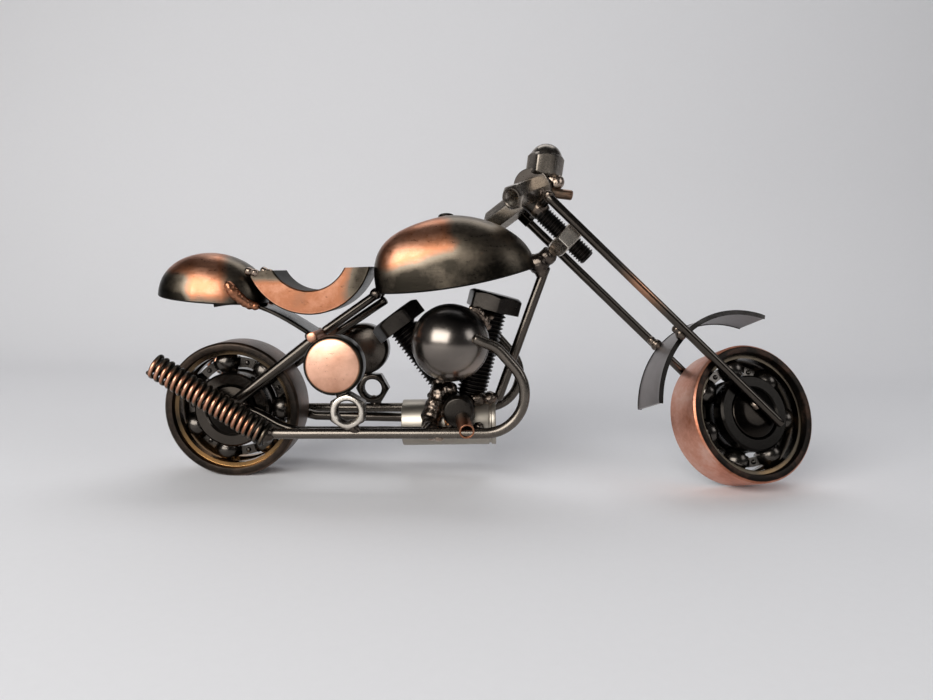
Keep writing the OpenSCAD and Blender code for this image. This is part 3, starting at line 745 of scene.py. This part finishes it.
def wheel_balls_shape():
    one = ball_shape(BALL_R, 36, 18)
    return joined(*[(*one, turn("Z", 360 * i / BALLS) @ at(PITCH_R, 0, 0)) for i in range(BALLS)])


def wheel(prefix, axle, hub_half, hub_body, ring_metal, tread, face, inner_metal, inner_tint,
          amber, painted_reflection_low):
    """One bearing. tread, face and amber are the tints of its outer ring, and the last argument is a painted reflection
    that brightens the races low down.
    """
    frame_at = axle @ ABOUT_Y
    own = local(frame_at)
    ring_body, ball_body = prefix + "_wheel", prefix + "_ball_set"

    def ring_tint(p):
        q = own(p)
        r = hypot(q.x, q.y)
        if r < RECESS_R + 0.05:
            # Races: amber, brightened low down by a painted reflection.
            return amber + painted_reflection_low * max(0.0, -q.y - 2.0) / 8 + 0.25 * noise(q * 0.2)
        if r < WHEEL_R - 0.3:
            return face
        return tread + 0.22 * noise(q * 0.25) - 0.6 * max(0.0, abs(q.z) - 2.9)

    def race(p, normal):
        q = own(p)
        return hypot(q.x, q.y) < RECESS_R - 0.05 and abs(q.z) < HALF_W - RECESS_DEEP + 0.02

    add(prefix + "_outer_ring", outer_ring_shape(), frame_at, ring_metal, ring_body, ring_tint,
        inside=(RACE_AMBER, race))
    add(prefix + "_cage", cage_shape(), frame_at, GUNMETAL, ball_body, 0.3, sharp=50)
    add(prefix + "_balls", wheel_balls_shape(), frame_at, POLISHED, ball_body, 0.4)
    add(prefix + "_inner_ring", inner_ring_shape(), frame_at, inner_metal, hub_body, inner_tint)
    add(prefix + "_hub", hub_shape(hub_half), frame_at, HUB_BLACK, hub_body, 0.12)


HUB_SIDE = FORK_HALF - ROD_D / 2
wheel("rear", REAR_AXLE, 4.0, "frame", REAR_TREAD, tread=0.52, face=0.05,
      inner_metal=BLACK_NICKEL, inner_tint=0.25, amber=0.05, painted_reflection_low=0.75)
wheel("front", FRONT_AXLE, HUB_SIDE, "fork", TREAD_COPPER, tread=0.86, face=0.0,
      inner_metal=HUB_BLACK, inner_tint=-0.1, amber=-0.15, painted_reflection_low=0.2)

# ---- Frame rods ----


def rod(node, path, d, seed, body="frame", material=BLACK_NICKEL, tint=0.3, slot="dark_plated", matrix=HERE):
    add(node, sweep(path, d, 20, wobble=0.03, seed=seed), matrix, material, body, tint)


STAY_Y, STAY_D, STRUT_D, RAIL_D, EXHAUST_D = 4.95, 1.9, 1.4, 1.6, 1.65
rod("right_stay", subdivided((1.2, -STAY_Y, 12.6), (14.45, -4.6, 23.25)), STAY_D, 1)
rod("left_stay", subdivided((1.2, STAY_Y, 12.6), (14.6, 4.6, 22.7)), STAY_D, 2)
rod("right_strut", subdivided((15.4, -4.6, 24.1), (23.2, -2.4, 29.9)), STRUT_D, 3)
rod("left_strut", subdivided((14.9, 4.6, 22.7), (24.2, 2.4, 29)), STRUT_D, 4)
rod("cross_peg", subdivided((14.9, -10.5, 23.7), (14.9, 10.5, 23.7)), RAIL_D, 5, material=COPPER, tint=0.75,
    slot="copper_plated")
RAIL = [(3.3, -STAY_Y + 0.1, 11.4), (5.6, -5.2, 10.6), (8.4, -5.8, 9.2), (11.5, -6.2, 8.4), (41, -4.7, 8.8)]
rail_path = rounded(RAIL[:4], 1.4, 4) + subdivided(RAIL[3], RAIL[4], 2.0)[1:]
rod("right_rail", rail_path, RAIL_D, 6)
rod("left_rail", [MIRROR_Y @ p for p in rail_path], RAIL_D, 7)
rod("down_tube", subdivided((43, 0, 13.1), (50.3, 0, 35)), RAIL_D, 8, tint=0.45)


def exhaust_path():
    """From the engine ball forward, round the bend and back along the bike to the muffler."""
    tip, knee = Vector((39.1, -0.8, 24.2)), Vector((42.6, 0, 22.8))
    bend = [Vector((x, 0, z)) for x, z in arc_points((40.9, 15.75), 6.0, 41, -90, 24)]
    front = rounded([tip, knee, bend[0]], 1.2, 6)
    tail = subdivided(bend[-1], (8.6, 0, 8.9), 2.0)
    return [p + Vector((0, -EXHAUST_Y, 0)) for p in front + bend[1:] + tail[1:]]


rod("right_exhaust", exhaust_path(), EXHAUST_D, 9, material=NICKEL, tint=0.27)
rod("left_exhaust", [MIRROR_Y @ p for p in exhaust_path()], EXHAUST_D, 10, material=NICKEL, tint=0.12)

SPRING_WIRE, SPRING_R, SPRING_TURNS = 0.72, 1.63, 21


def spring_shape(l):
    """Closely and evenly wound spring."""
    count = SPRING_TURNS * 30
    end = SPRING_WIRE * 0.35
    path = []
    for i in range(count + 1):
        t = i / count
        path.append(polar(SPRING_R, tau * SPRING_TURNS * t, end + (l - 2 * end) * t))
    return sweep(path, SPRING_WIRE, 12)


def muffler(node, side, drop):
    """Spring painted copper on the outer crests that face sideways, a painted highlight, and dark elsewhere, painted
    shade; it is dark at its root too.
    """
    root = (8.1, side * EXHAUST_Y, 8.5)
    tip = (-9.6, side * EXHAUST_Y, 19.3 - drop)
    spring_at = along(root, tip)
    own = local(spring_at)

    def tint(p):
        q = own(p)
        out = max(0.0, (hypot(q.x, q.y) - 1.72) / 0.27)
        # Painted highlight: only the crests that face sideways get copper.
        facing = max(0.0, (abs(p.y - root[1]) - 0.7) / 1.2)
        near_root = max(0.0, 1 - q.z / 4.5)
        return 0.05 + 0.78 * out * facing - 0.5 * near_root + 0.15 * noise(p * 0.3)

    add(node, spring_shape(dist(root, tip)), spring_at, COPPER, "frame", tint, sharp=60)


muffler("right_muffler", -1, 0.0)
muffler("left_muffler", 1, 0.8)

# ---- Engine ----


def crankcase_shape():
    """Slug with a groove near its front end and a slightly sunk middle in the front face."""
    half, r, groove_r = 7.6, 3.75, 3.5
    return turned([
        (0, -half), (r, -half), (r, half - 1.15), (groove_r, half - 1.1), (groove_r, half - 0.75), (r, half - 0.7),
        (r, half), (r * 0.55, half), (r * 0.5, half - 0.15), (0, half - 0.15),
    ], 0.12, 72)


add("crankcase", crankcase_shape(), at(35.2, 0, 9.2) @ turn("Y", 90 - 2.2), CASE_GREY, "frame", 0.6)


def cylinder_bolt(node, x, z, lean, l, spin):
    """Big hex bolt, head up, with thread crests painted brighter than the roots: painted highlight on the crests,
    painted shade in the grooves.
    """
    bolt_at = at(x, 0, z) @ turn("Y", lean)
    head = hex_body(8, 2.7, top=(0.47, CHAMFER), corner=0.7, spin=spin)
    shank = threaded(4.9, 4.1, 0.64, -l, 0.3, 48)
    own = local(bolt_at)

    def tint(p):
        q = own(p)
        r = hypot(q.x, q.y)
        if q.z > 0.2 or r > 2.6:
            return 0.22 + 0.16 * noise(q * 0.4)
        # Thread: painted highlight on the crests, painted shade in the grooves.
        return 1.6 * max(0.0, r - 2.3)

    add(node, joined(head, shank), bolt_at, HEAD_DARK, "frame", tint, fill=True, sharp=30)


cylinder_bolt("back_cylinder", 27.35, 24.7, -38, 11.6, 60)
cylinder_bolt("front_cylinder", 41.8, 27.75, 13, 14.8, 42)


def ball_tint(p):
    """Bright steel with a crown painted dark: a painted reflection of the dark room above."""
    return 0.46 + 0.30 * noise(p * 0.13) - 0.46 * clamp((p.z - 24.6) / 2.6)


for side, node, z in ((-1, "right_engine_ball", 23), (1, "left_engine_ball", 22.1)):
    add(node, ball_shape(6.0, 96, 48), at(35.5, side * 6.75, z), POLISHED, "frame", ball_tint)

add("stub_bolt", turned([(0, 2.9), (2.5, 2.9), (2.5, 6.0), (2.1, 6.5), (0, 6.6)], 0.12, 48),
    at(36.8, 0, 12.1) @ ABOUT_Y, HEAD_DARK, "frame", 0.4)
TUBE_FOOT, TUBE_MOUTH = (37.4, -5.6, 11.1), (38.4, -11.4, 10.2)
tube_l = dist(TUBE_FOOT, TUBE_MOUTH)
add("breather_tube", turned([(0, 0), (1.15, 0), (1.15, tube_l), (0.91, tube_l), (0.9, 1.0), (0, 1.0)], 0.06, 36),
    along(TUBE_FOOT, TUBE_MOUTH), COPPER, "frame", lambda p: 0.62 if p.y < -10.6 else 0.3)

# ---- Side trim ----


def disc_shape():
    """Thick round disc with softly domed faces."""
    r, t, soft, dome = 4.5, 4.2, 0.8, 0.32
    flat_r = r - soft
    dish = [(flat_r * k / 8, dome * (k / 8) ** 2) for k in range(8)]
    outline = [(x, -t / 2 + z) for x, z in dish]
    outline += arc_points((flat_r, -t / 2 + soft + dome), soft, -80, 0, 8)
    outline += arc_points((flat_r, t / 2 - soft - dome), soft, 0, 80, 8)
    outline += [(x, t / 2 - z) for x, z in dish[::-1]]
    return lathe(outline, 72)


def disc(node, x, y, z, material, face):
    def tint(p):
        rim = max(0.0, hypot(p.x - x, p.z - z) - 3.85) / 0.5
        # Painted shade: the face darkens towards its bottom.
        low = max(0.0, z - 1.6 - p.z) / 3.5
        return face - 1.5 * rim - 0.25 * low + 0.10 * noise(p * 0.5)

    add(node, disc_shape(), at(x, y, z) @ ABOUT_Y, material, "frame", tint, sharp=60)


disc("right_disc", 18.4, -10.4, 19.7, COPPER, 0.92)
disc("left_disc", 19.2, 10.4, 19.9, BLACK_NICKEL, 0.4)


def side_nut(node, x, side, z, spin, material, flat, wall):
    """Nut beside an exhaust. flat is the tint of its faces and wall that of the rest."""
    y, high, ends = side * EXHAUST_Y, 2.4, (0.455, CHAMFER)
    nut = hex_body(5.15, high, top=ends, bottom=ends, corner=0.18, bore=3.3, mouth=3.8, spin=spin)

    def tint(p):
        return flat if 1.85 < hypot(p.x - x, p.z - z) < 2.45 and abs(p.y - y) > 1.15 else wall

    add(node, nut, at(x, y, z) @ ABOUT_Y @ at(0, 0, -high / 2), material, "frame", tint, sharp=28)


side_nut("right_nut", 20.4, -1, 12.75, 30, NICKEL, 1.0, 0.12)
side_nut("left_nut", 20.8, 1, 12.85, 0, BLACK_NICKEL, 0.3, 0.15)

# ---- Seat, strip and shells ----

SEAT = (12.7, 36.8)
SEAT_OUTER, SEAT_INNER, SEAT_HALF = 10.15, 6.35, 4.0
SEAT_CUT, SEAT_SLOPE = 2.948, radians(3.15)


def seat_r(p):
    return hypot(p.x - SEAT[0], p.z - SEAT[1])


def seat_shape():
    """Half of a ring, cut along a line just below its centre, with softened edges and full sides."""
    outer, inner, half, soft = SEAT_OUTER, SEAT_INNER, SEAT_HALF, 0.22
    side = [outer - (outer - inner) * k / 10 for k in range(1, 10)]
    section = [(outer, -half + soft), (outer, half - soft), (outer - soft, half)]
    section += [(r, half) for r in side]
    section += [(inner + soft, half), (inner, half - soft), (inner, -half + soft), (inner + soft, -half)]
    section += [(r, -half) for r in side[::-1]]
    section.append((outer - soft, -half))
    cols = 72
    points = []
    for i in range(cols + 1):
        for r, y in section:
            dip = asin(SEAT_CUT / r)
            start, end = pi + SEAT_SLOPE + dip, tau + SEAT_SLOPE - dip
            a = start + (end - start) * i / cols
            points.append(Vector((SEAT[0] + r * cos(a), y, SEAT[1] + r * sin(a))))
    return points, between(cols + 1, len(section)) + end_caps(cols + 1, len(section))


def seat_tint(p):
    """Copper sides, darker towards both ends, with a painted highlight along the outer edge and painted shade on the
    underside.
    """
    r = seat_r(p)
    # Painted shade on the outer face, which faces down.
    if r > 9.98 and abs(p.y) < 3.9:
        return 0.0
    right_end = clamp((p.x - 17.6 + 0.25 * (p.z - 30)) / 3.4) * clamp((r - 6.6) / 2.2, 0.25)
    left_end = clamp((p.z - 31.4) / 1.2) if p.x < 10 else 0.0
    # Painted highlight along the outer edge.
    edge = 0.25 * max(0.0, (r - 9.85) / 0.15)
    return 0.59 + edge + 0.12 * noise(p * 0.3) - 0.58 * right_end - 0.48 * left_end


# The seat's inner face is painted near-black: painted shade.
add("seat", seat_shape(), HERE, COPPER, "frame", seat_tint, sharp=40,
    inside=(INNER_SHADE, lambda p, normal: seat_r(p) < SEAT_INNER + 0.07))


def strip_shape():
    """Bent flat strip from the cowl down to the cross peg, along a cubic curve."""
    start, crest, fall, end = (Vector(p) for p in ((-2.4, 27.8), (3.2, 29.1), (6.5, 27.6), (13.9, 22.9)))
    steps, half_thick, half_wide = 36, 0.25, 3.8

    def line(t):
        s = 1 - t
        return start * s**3 + crest * (3 * t * s * s) + fall * (3 * t * t * s) + end * t**3

    upper, lower = [], []
    for i in range(steps + 1):
        t = i / steps
        d = (line(min(t + 0.01, 1)) - line(max(t - 0.01, 0))).normalized()
        out = Vector((-d.y, d.x)) * half_thick
        upper.append(line(t) + out)
        lower.append(line(t) - out)
    return extruded(lower + upper[::-1], half_wide, 0.12, 5)


add("seat_strip", strip_shape(), HERE, HUB_BLACK, "frame", 0.05, sharp=40)


def shell(node, place, size, ends, sag, tint):
    """Pressed shell whose inner side is painted near-black as painted shade. tint gets a point in the shell's own
    frame.
    """
    own = local(place)
    a, b, h = size

    def inner_side(p, normal):
        q = own(p)
        out = own(p + normal * 2) - q
        return out.dot(Vector((q.x / a**2, q.y / b**2, max(q.z, 0.5) / h**2))) < 0

    add(node, pod(size, ends, sag), place, COPPER, "frame", lambda p: tint(own(p)), sharp=60,
        inside=(INNER_SHADE, inner_side))


def cowl_tint(q):
    """Copper, with painted shade low at the rear, along the rim and at the front towards the seat."""
    # Painted shade: low at the rear, at the front towards the seat and along the rim.
    shade_rear_low = clamp((-q.x - 1.4) / 1.8) * clamp((4.4 - q.z) / 1.5)
    front = clamp((q.x - 1.0 - 0.35 * (7.4 - q.z)) / 2.2)
    low = max(0.0, 1 - q.z / 1.1)
    return 0.66 - 0.62 * shade_rear_low - 0.45 * front - 0.3 * low + 0.14 * noise(q * 0.25)


def tank_tint(q):
    """Copper rear half and olive nickel front half, with an uneven edge between, both with painted shade along the
    lower rim.
    """
    edge = 0.9 + 0.8 * noise(q * 0.25) - 0.22 * (q.z - 5)
    copper = 1 / (1 + exp((q.x - edge) / 0.55))
    # Painted shade along the lower rim, on the copper here and on the nickel below.
    low = clamp((q.z - 1.6 - 0.12 * (q.x + 12)) / 2.2)
    tail = clamp((q.x + 12.6) / 2.6)
    front = 0.03 + 0.19 * clamp((q.z - 0.6) / 2.5) * (1 - copper)
    return front + copper * 0.60 * low * (0.25 + 0.75 * tail) + 0.08 * noise(q * 0.3)


shell("rear_cowl", at(-3.75, 0, 28.8) @ turn("Y", 3.5), (8.8, 6, 7.4), (2.2, 2.15), 0.3, cowl_tint)
TANK_AT, TANK_SIZE, TANK_ENDS = at(35.9, 0, 32.6) @ turn("Y", -10.3), (13, 6.5, 10.3), (1.9, 2.8)
shell("tank", TANK_AT, TANK_SIZE, TANK_ENDS, 1, tank_tint)


def floor_shape():
    """Flat plate inside the tank's rim."""
    inset, steps = 1.05, 80
    size = (TANK_SIZE[0] - inset, TANK_SIZE[1] - inset, TANK_SIZE[2])
    outline = [pod_point(size, TANK_ENDS, 0, tau * i / steps, 0) for i in range(steps)]
    points = [Vector((p.x, p.y, z)) for z in (0.15, 0.65) for p in outline]
    return points, between(2, steps) + end_caps(2, steps)


add("tank_floor", floor_shape(), TANK_AT, BLACK_NICKEL, "frame", 0.1)
add("filler_cap", turned([(0, 0), (1.55, 0), (1.4, 0.9), (1.3, 1.0), (1.3, 1.4), (0.8, 1.5), (0, 1.5)], 0.12, 40),
    at(34, 2.4, 42.1) @ turn("Y", -4) @ turn("X", -16) @ at(0, 0, -0.6), BLACK_NICKEL, "frame", 0.2)

# ---- Welds on the frame: beads are (x, y, z, diameter) ----

RUST_AT = (35.3, -5.2, 10.8)
ENGINE_BEADS = [
    (33.9, -1.6, 15.6, 3.4), (33.6, -3, 14.2, 3.5), (33.1, -3.9, 12.6, 3.5), (32.5, -4.6, 11.0, 3.4),
    (32.4, -6.2, 9.9, 2.8), (32.6, -7.8, 9.6, 2.6), (32.9, -9.6, 9.6, 2.5), (34.2, -10.2, 9.2, 1.8),
    (35.3, -1.4, 13.8, 3.2), (35.4, -3.4, 15.2, 2.4), (39.6, -1.6, 13.4, 2.8), (41.8, -0.6, 13.2, 2.6),
    (34.9, -4.6, 11.6, 1.7), (35.3, -4.9, 10.6, 1.5), (35.3, -5.2, 9.8, 1.2), (40.4, -2.9, 26.8, 2.2),
    (39.3, -4.1, 27.8, 1.7), (39.9, -3.9, 27.1, 1.9), (40.5, -3.4, 26.3, 2.0), (40.9, -2.8, 25.4, 1.8),
    (38.6, -4.6, 28.1, 1.3), (41.5, -2.4, 26.9, 1.6), (34, 1.6, 15, 3), (33.6, 3.1, 13.2, 3), (33, 4.3, 11, 2.8),
    (32.8, 6.2, 9.7, 2.4), (32.7, 7.8, 9.5, 2.3), (32.6, 9.3, 9.4, 2.5), (39, 1.6, 13.4, 2.8),
]
add("engine_welds", weld_shape(ENGINE_BEADS, 11), HERE, WELD, "frame",
    lambda p: 0.6 if p.z > 20 else 0.45 + 0.35 * max(0.0, 9.8 - p.z),
    rust=lambda p: 0.75 - 0.22 * dist(p, RUST_AT) if p.z < 20 else -0.2, sharp=180)

SIDE_BEADS = [  # on the right, and mirrored on the left
    (2.4, -4.3, 12.2, 1.7), (21.3, -10.3, 9.9, 1.9), (19.6, -10.3, 15.2, 2.2), (40, -4.2, 9.2, 1.9),
    (3.4, -3.9, 33.3, 1.5), (4.4, -3.7, 33.1, 1.3), (23.2, -2.2, 30.1, 2), (15.8, -9.6, 22.9, 1.6),
    (12.9, -3.6, 23.2, 1.6), (7.9, -10.3, 8.8, 2.8), (0.7, -5.3, 31.1, 1.5), (1.0, -5.2, 30.6, 1.9),
    (1.3, -5.1, 30.15, 1.9), (1.6, -4.95, 29.7, 1.8), (2.0, -4.8, 29.3, 1.7), (2.4, -4.6, 28.9, 1.7),
    (2.9, -4.4, 28.5, 1.7), (3.6, -4.2, 28.1, 1.6), (4.4, -4.1, 27.9, 1.3), (20.9, -10.4, 10.6, 1.7),
    (21.6, -10.4, 9.6, 1.7),
]
HEAD_BEADS = [(49.2, 0, 35.3, 3.6), (48, 0, 35.6, 2.8), (50.5, 0, 36.5, 3), (49.6, 0, 34, 2.4)]
frame_beads = [(x, -side * y, z, d) for side in (-1, 1) for x, y, z, d in SIDE_BEADS] + HEAD_BEADS


def cowl_seam(p, normal=None):
    return p.x < 6 and 27 < p.z < 32


def frame_weld_tint(p):
    if p.x < 6 and 32 < p.z < 34:
        return 0.75
    return 0.55 if cowl_seam(p) else 0.32


add("frame_welds", weld_shape(frame_beads, 23, 0.13, 0.09), HERE, WELD, "frame", frame_weld_tint,
    rust=-0.1, sharp=180, inside=(COPPER, cowl_seam))

# ---- Head nut and fork ----

add("head_nut", hex_body(5.5, 2.7, bottom=(0.475, CHAMFER), corner=0.2, bore=3.02, mouth=3.4, spin=8),
    STRAIGHT @ at(0, 0, -5.1), NICKEL, "frame", 0.9, sharp=28)

fork_own = local(FORK)
steering = joined(
    threaded(2.9, 2.42, 0.5, -8.4, 1.9),
    turned([(0, 1.7), (1.1, 1.7), (1.35, 2.0), (1.35, 4.7), (1.1, 5.0), (0, 5.0)], 0.1, 32),
)


def steering_tint(p):
    q = fork_own(p)
    # Thread crests painted brighter than the roots: painted highlight on the crests, painted shade in the grooves.
    return 0.12 + 3.0 * max(0.0, hypot(q.x, q.y) - 1.36) if q.z < 1.8 else 0.4


add("steering_bolt", steering, FORK, HEAD_DARK, "fork", steering_tint, fill=True, sharp=30)


def fork_bar(node, a, b, d, seed, step=1.0, **looks):
    rod(node, subdivided(a, b, step), d, seed, body="fork", matrix=FORK, **looks)


def rod_tint(p):
    """Black nickel with a streak of copper below the head."""
    return 0.30 + 0.62 * exp(-((fork_own(p).z + 17.5) / 4.5) ** 2)


fork_bar("crown_bar", (0.4, -5.05, 2.7), (0.4, 5.05, 2.7), 1.3, 11)
fork_bar("right_fork_rod", (0, -FORK_HALF, -48.2), (0, -FORK_HALF, 3), ROD_D, 12, tint=rod_tint)
fork_bar("left_fork_rod", (0, FORK_HALF, -46.4), (0, FORK_HALF, 3), ROD_D, 13)
add("left_collar", hex_body(2.3, 2.2, corner=0.15), FORK @ at(0.25, 4.4, 2.2), BLACK_NICKEL, "fork",
    0.1)

FENDER_R, FENDER_THICK, FENDER_HALF, FENDER_ARC = 16.75, 0.5, 3.2, (27.5, 128)
fender_own = local(FRONT_AXLE)


def fender_shape():
    start, end = FENDER_ARC
    outline = arc_points((0, 0), FENDER_R, start, end, 64) + arc_points((0, 0), FENDER_R - FENDER_THICK, end, start, 64)
    return extruded(outline[::-1], FENDER_HALF, 0.14, 8)


def fender_tint(p):
    edge = 0.5 if abs(fender_own(p).y) > FENDER_HALF - 0.1 else 0.0
    return 0.52 - edge + 0.2 * noise(p * 0.15)


add("fender", fender_shape(), FRONT_AXLE, FENDER_GREY, "fork", fender_tint, sharp=40)


def grip(node, root, end, tone):
    """Hex sleeve with a threaded hole whose wall is painted dark near its mouth as painted shade. Its end is rounded,
    as if tumbled.
    """
    l = dist(root, end)
    af = 3.5
    grip_at = FORK @ along(root, end)
    own = local(grip_at)

    def tint(p):
        q = own(p)
        # Painted shade inside the hole near its mouth.
        hole_shade = max(0.0, (q.z - l + 0.7) / 0.7) if hypot(q.x, q.y) < 1.62 else 0.0
        return tone * (1 - 0.85 * hole_shade)

    sleeve = hex_body(af, l, top=(0.43, l / (af * 1.74)), corner=0.12, bore=2.3, mouth=2.6, depth=4.3)
    add(node, sleeve, grip_at, NICKEL, "fork", tint, sharp=28)


GRIP_ROOT, GRIP_END = (2.25, -0.1, 5.43), (-4.11, -3.51, 6.81)
grip("right_grip", GRIP_ROOT, GRIP_END, 0.70)
grip("left_grip", (1.1, 1.9, 5.5), (-3.5, 7.85, 6.75), 0.55)
add("grip_washer", turned([(1.0, 0), (3.4, 0), (3.4, 0.6), (1.0, 0.6)], 0.12, 48, closed=True),
    FORK @ along(GRIP_ROOT, GRIP_END) @ at(0, 0, 0.2), GUNMETAL, "fork", 0.55)

LAMP_ROOT, LAMP_TOP, LAMP_R = (4.4, -1.15, 5.65), (8.1, -3.05, 8.7), 2.6
dome = [(0, 2.2), (2.5, 2.2)] + arc_points((0, dist(LAMP_ROOT, LAMP_TOP) - LAMP_R), LAMP_R, 2, 90, 14)
lamp = joined(
    hex_body(2 * LAMP_R, 3.9, top=(0.40, 1.1), bottom=(0.44, 0.7), corner=0.5),
    lathe([(max(r, 0.0), z) for r, z in dome], 48),
)
add("lamp_nut", lamp, FORK @ along(LAMP_ROOT, LAMP_TOP), NICKEL, "fork",
    lambda p: 0.42 + 0.4 * noise(p * 0.3), sharp=28)
fork_bar("lever", (2.5, -1.1, 3.9), (4.91, -2.31, 0.25), 1.6, 14, 0.6, material=COPPER, slot="copper_plated",
         tint=0.36)
STEM_BEADS = [(3.6, -0.9, 5.2, 3.2), (4.6, -2.2, 3.5, 2.5), (4.6, -1.8, 4.5, 2.4), (2.6, -0.8, 4.6, 3)]
add("lamp_stem", weld_shape(STEM_BEADS, 31, 0.13, 0.1), FORK, WELD, "fork", 0.72, sharp=180)

fork_beads = [(0.2, -FORK_HALF, 3, 1.7), (0.2, FORK_HALF, 2.6, 1.7), (0.3, 0, 2.7, 3.3)]
to_axle = FORK.inverted() @ FRONT_AXLE
for side in (-1, 1):  # the rods' feet and the fender, placed from the axle
    for x, y, z, d in ((0.9, HUB_SIDE - 0.1, 0.9, 1.7), (0.8, 3.6, 17.15, 1.9), (0.8, 3.7, 18.25, 1.4)):
        fork_beads.append((*(to_axle @ Vector((x, side * y, z))), d))
add("fork_welds", weld_shape(fork_beads, 43, 0.12, 0.1), FORK, WELD, "fork", 0.5, rust=-0.1, sharp=180)

# ---- Stage ----


def paper_material():
    n = Nodes("paper")
    colour = (0.80, 0.80, 0.82)
    fibre = n.noise(0.8, 0.8, 0.8, 6.0, 0.7)
    n.link(n.ramp(fibre, [(0.3, tuple(c * 0.985 for c in colour)), (0.7, colour)]), n.inputs["Base Color"])
    n.inputs["Roughness"].default_value = 0.75
    n.inputs["Specular IOR Level"].default_value = 0.2
    return n.material


def sweep_floor():
    """Pale floor that curves up into a backdrop."""
    left, right, front, bend_y, bend_r = -520, 620, -420.0, 110.0, 90.0
    profile = [(front, 0.0), (-200.0, 0.0), (60.0, 0.0)] + arc_points((bend_y, bend_r), bend_r, -90, -10, 24)
    profile.append((profile[-1][0] + 40, profile[-1][1] + 260))
    points = [Vector((x, y, z)) for y, z in profile for x in (left, right)]
    faces = [[2 * j, 2 * j + 1, 2 * j + 3, 2 * j + 2] for j in range(len(profile) - 1)]
    mesh = bpy.data.meshes.new("studio_floor")
    mesh.from_pydata([p * MM for p in points], [], faces)
    mesh.materials.append(paper_material())
    mesh.shade_smooth()
    floor = new_object("studio_floor", mesh)


sweep_floor()


def area_light(name, place, target, size, power, colour):
    """Soft light at place, facing target, sized in mm."""
    light = bpy.data.lights.new(name, "AREA")
    light.shape = "RECTANGLE"
    light.size, light.size_y = size[0] * MM, size[1] * MM
    light.energy = power
    light.color = colour
    place, target = Vector(place) * MM, Vector(target) * MM
    facing = (target - place).to_track_quat("-Z", "Y").to_matrix().to_4x4()
    new_object(name, light).matrix_world = Matrix.Translation(place) @ facing


area_light("key", (-135, -315, 175), (36, 0, 22), (350, 220), 1.7, (1.0, 0.985, 0.96))
area_light("side", (300, -120, 150), (40, 0, 20), (120, 120), 0.12, (0.95, 0.97, 1.0))
area_light("top", (60, 220, 430), (30, 90, 0), (420, 220), 0.75, (0.97, 0.98, 1.0))

world = bpy.data.worlds.new("studio")
world.use_nodes = True
scene.world = world
background = world.node_tree.nodes["Background"]
background.inputs["Color"].default_value = (0.60, 0.60, 0.64, 1)
background.inputs["Strength"].default_value = 0.07

# ---- Camera ----

# Solved from the photo, with the focal length for a 36 mm sensor.
CAMERA_AT = Vector((41.66, -117.0, 34.53))
YAW, PITCH, ROLL = radians(-1.91), radians(6.52), radians(0.98)
look = Vector((sin(YAW) * cos(PITCH), cos(YAW) * cos(PITCH), -sin(PITCH)))
flat_right = look.cross(Vector((0, 0, 1))).normalized()
flat_up = flat_right.cross(look)
right = flat_right * cos(ROLL) + flat_up * sin(ROLL)
up = -flat_right * sin(ROLL) + flat_up * cos(ROLL)
lens = bpy.data.cameras.new("camera")
lens.sensor_width = 36
lens.lens = 27.88
lens.clip_start = 0.005
lens.clip_end = 10
camera = new_object("camera", lens)
camera.matrix_world = Matrix.Translation(CAMERA_AT * MM) @ Matrix((right, up, -look)).transposed().to_4x4()
bpy.context.scene.camera = camera
scene.view_settings.view_transform = "Standard"
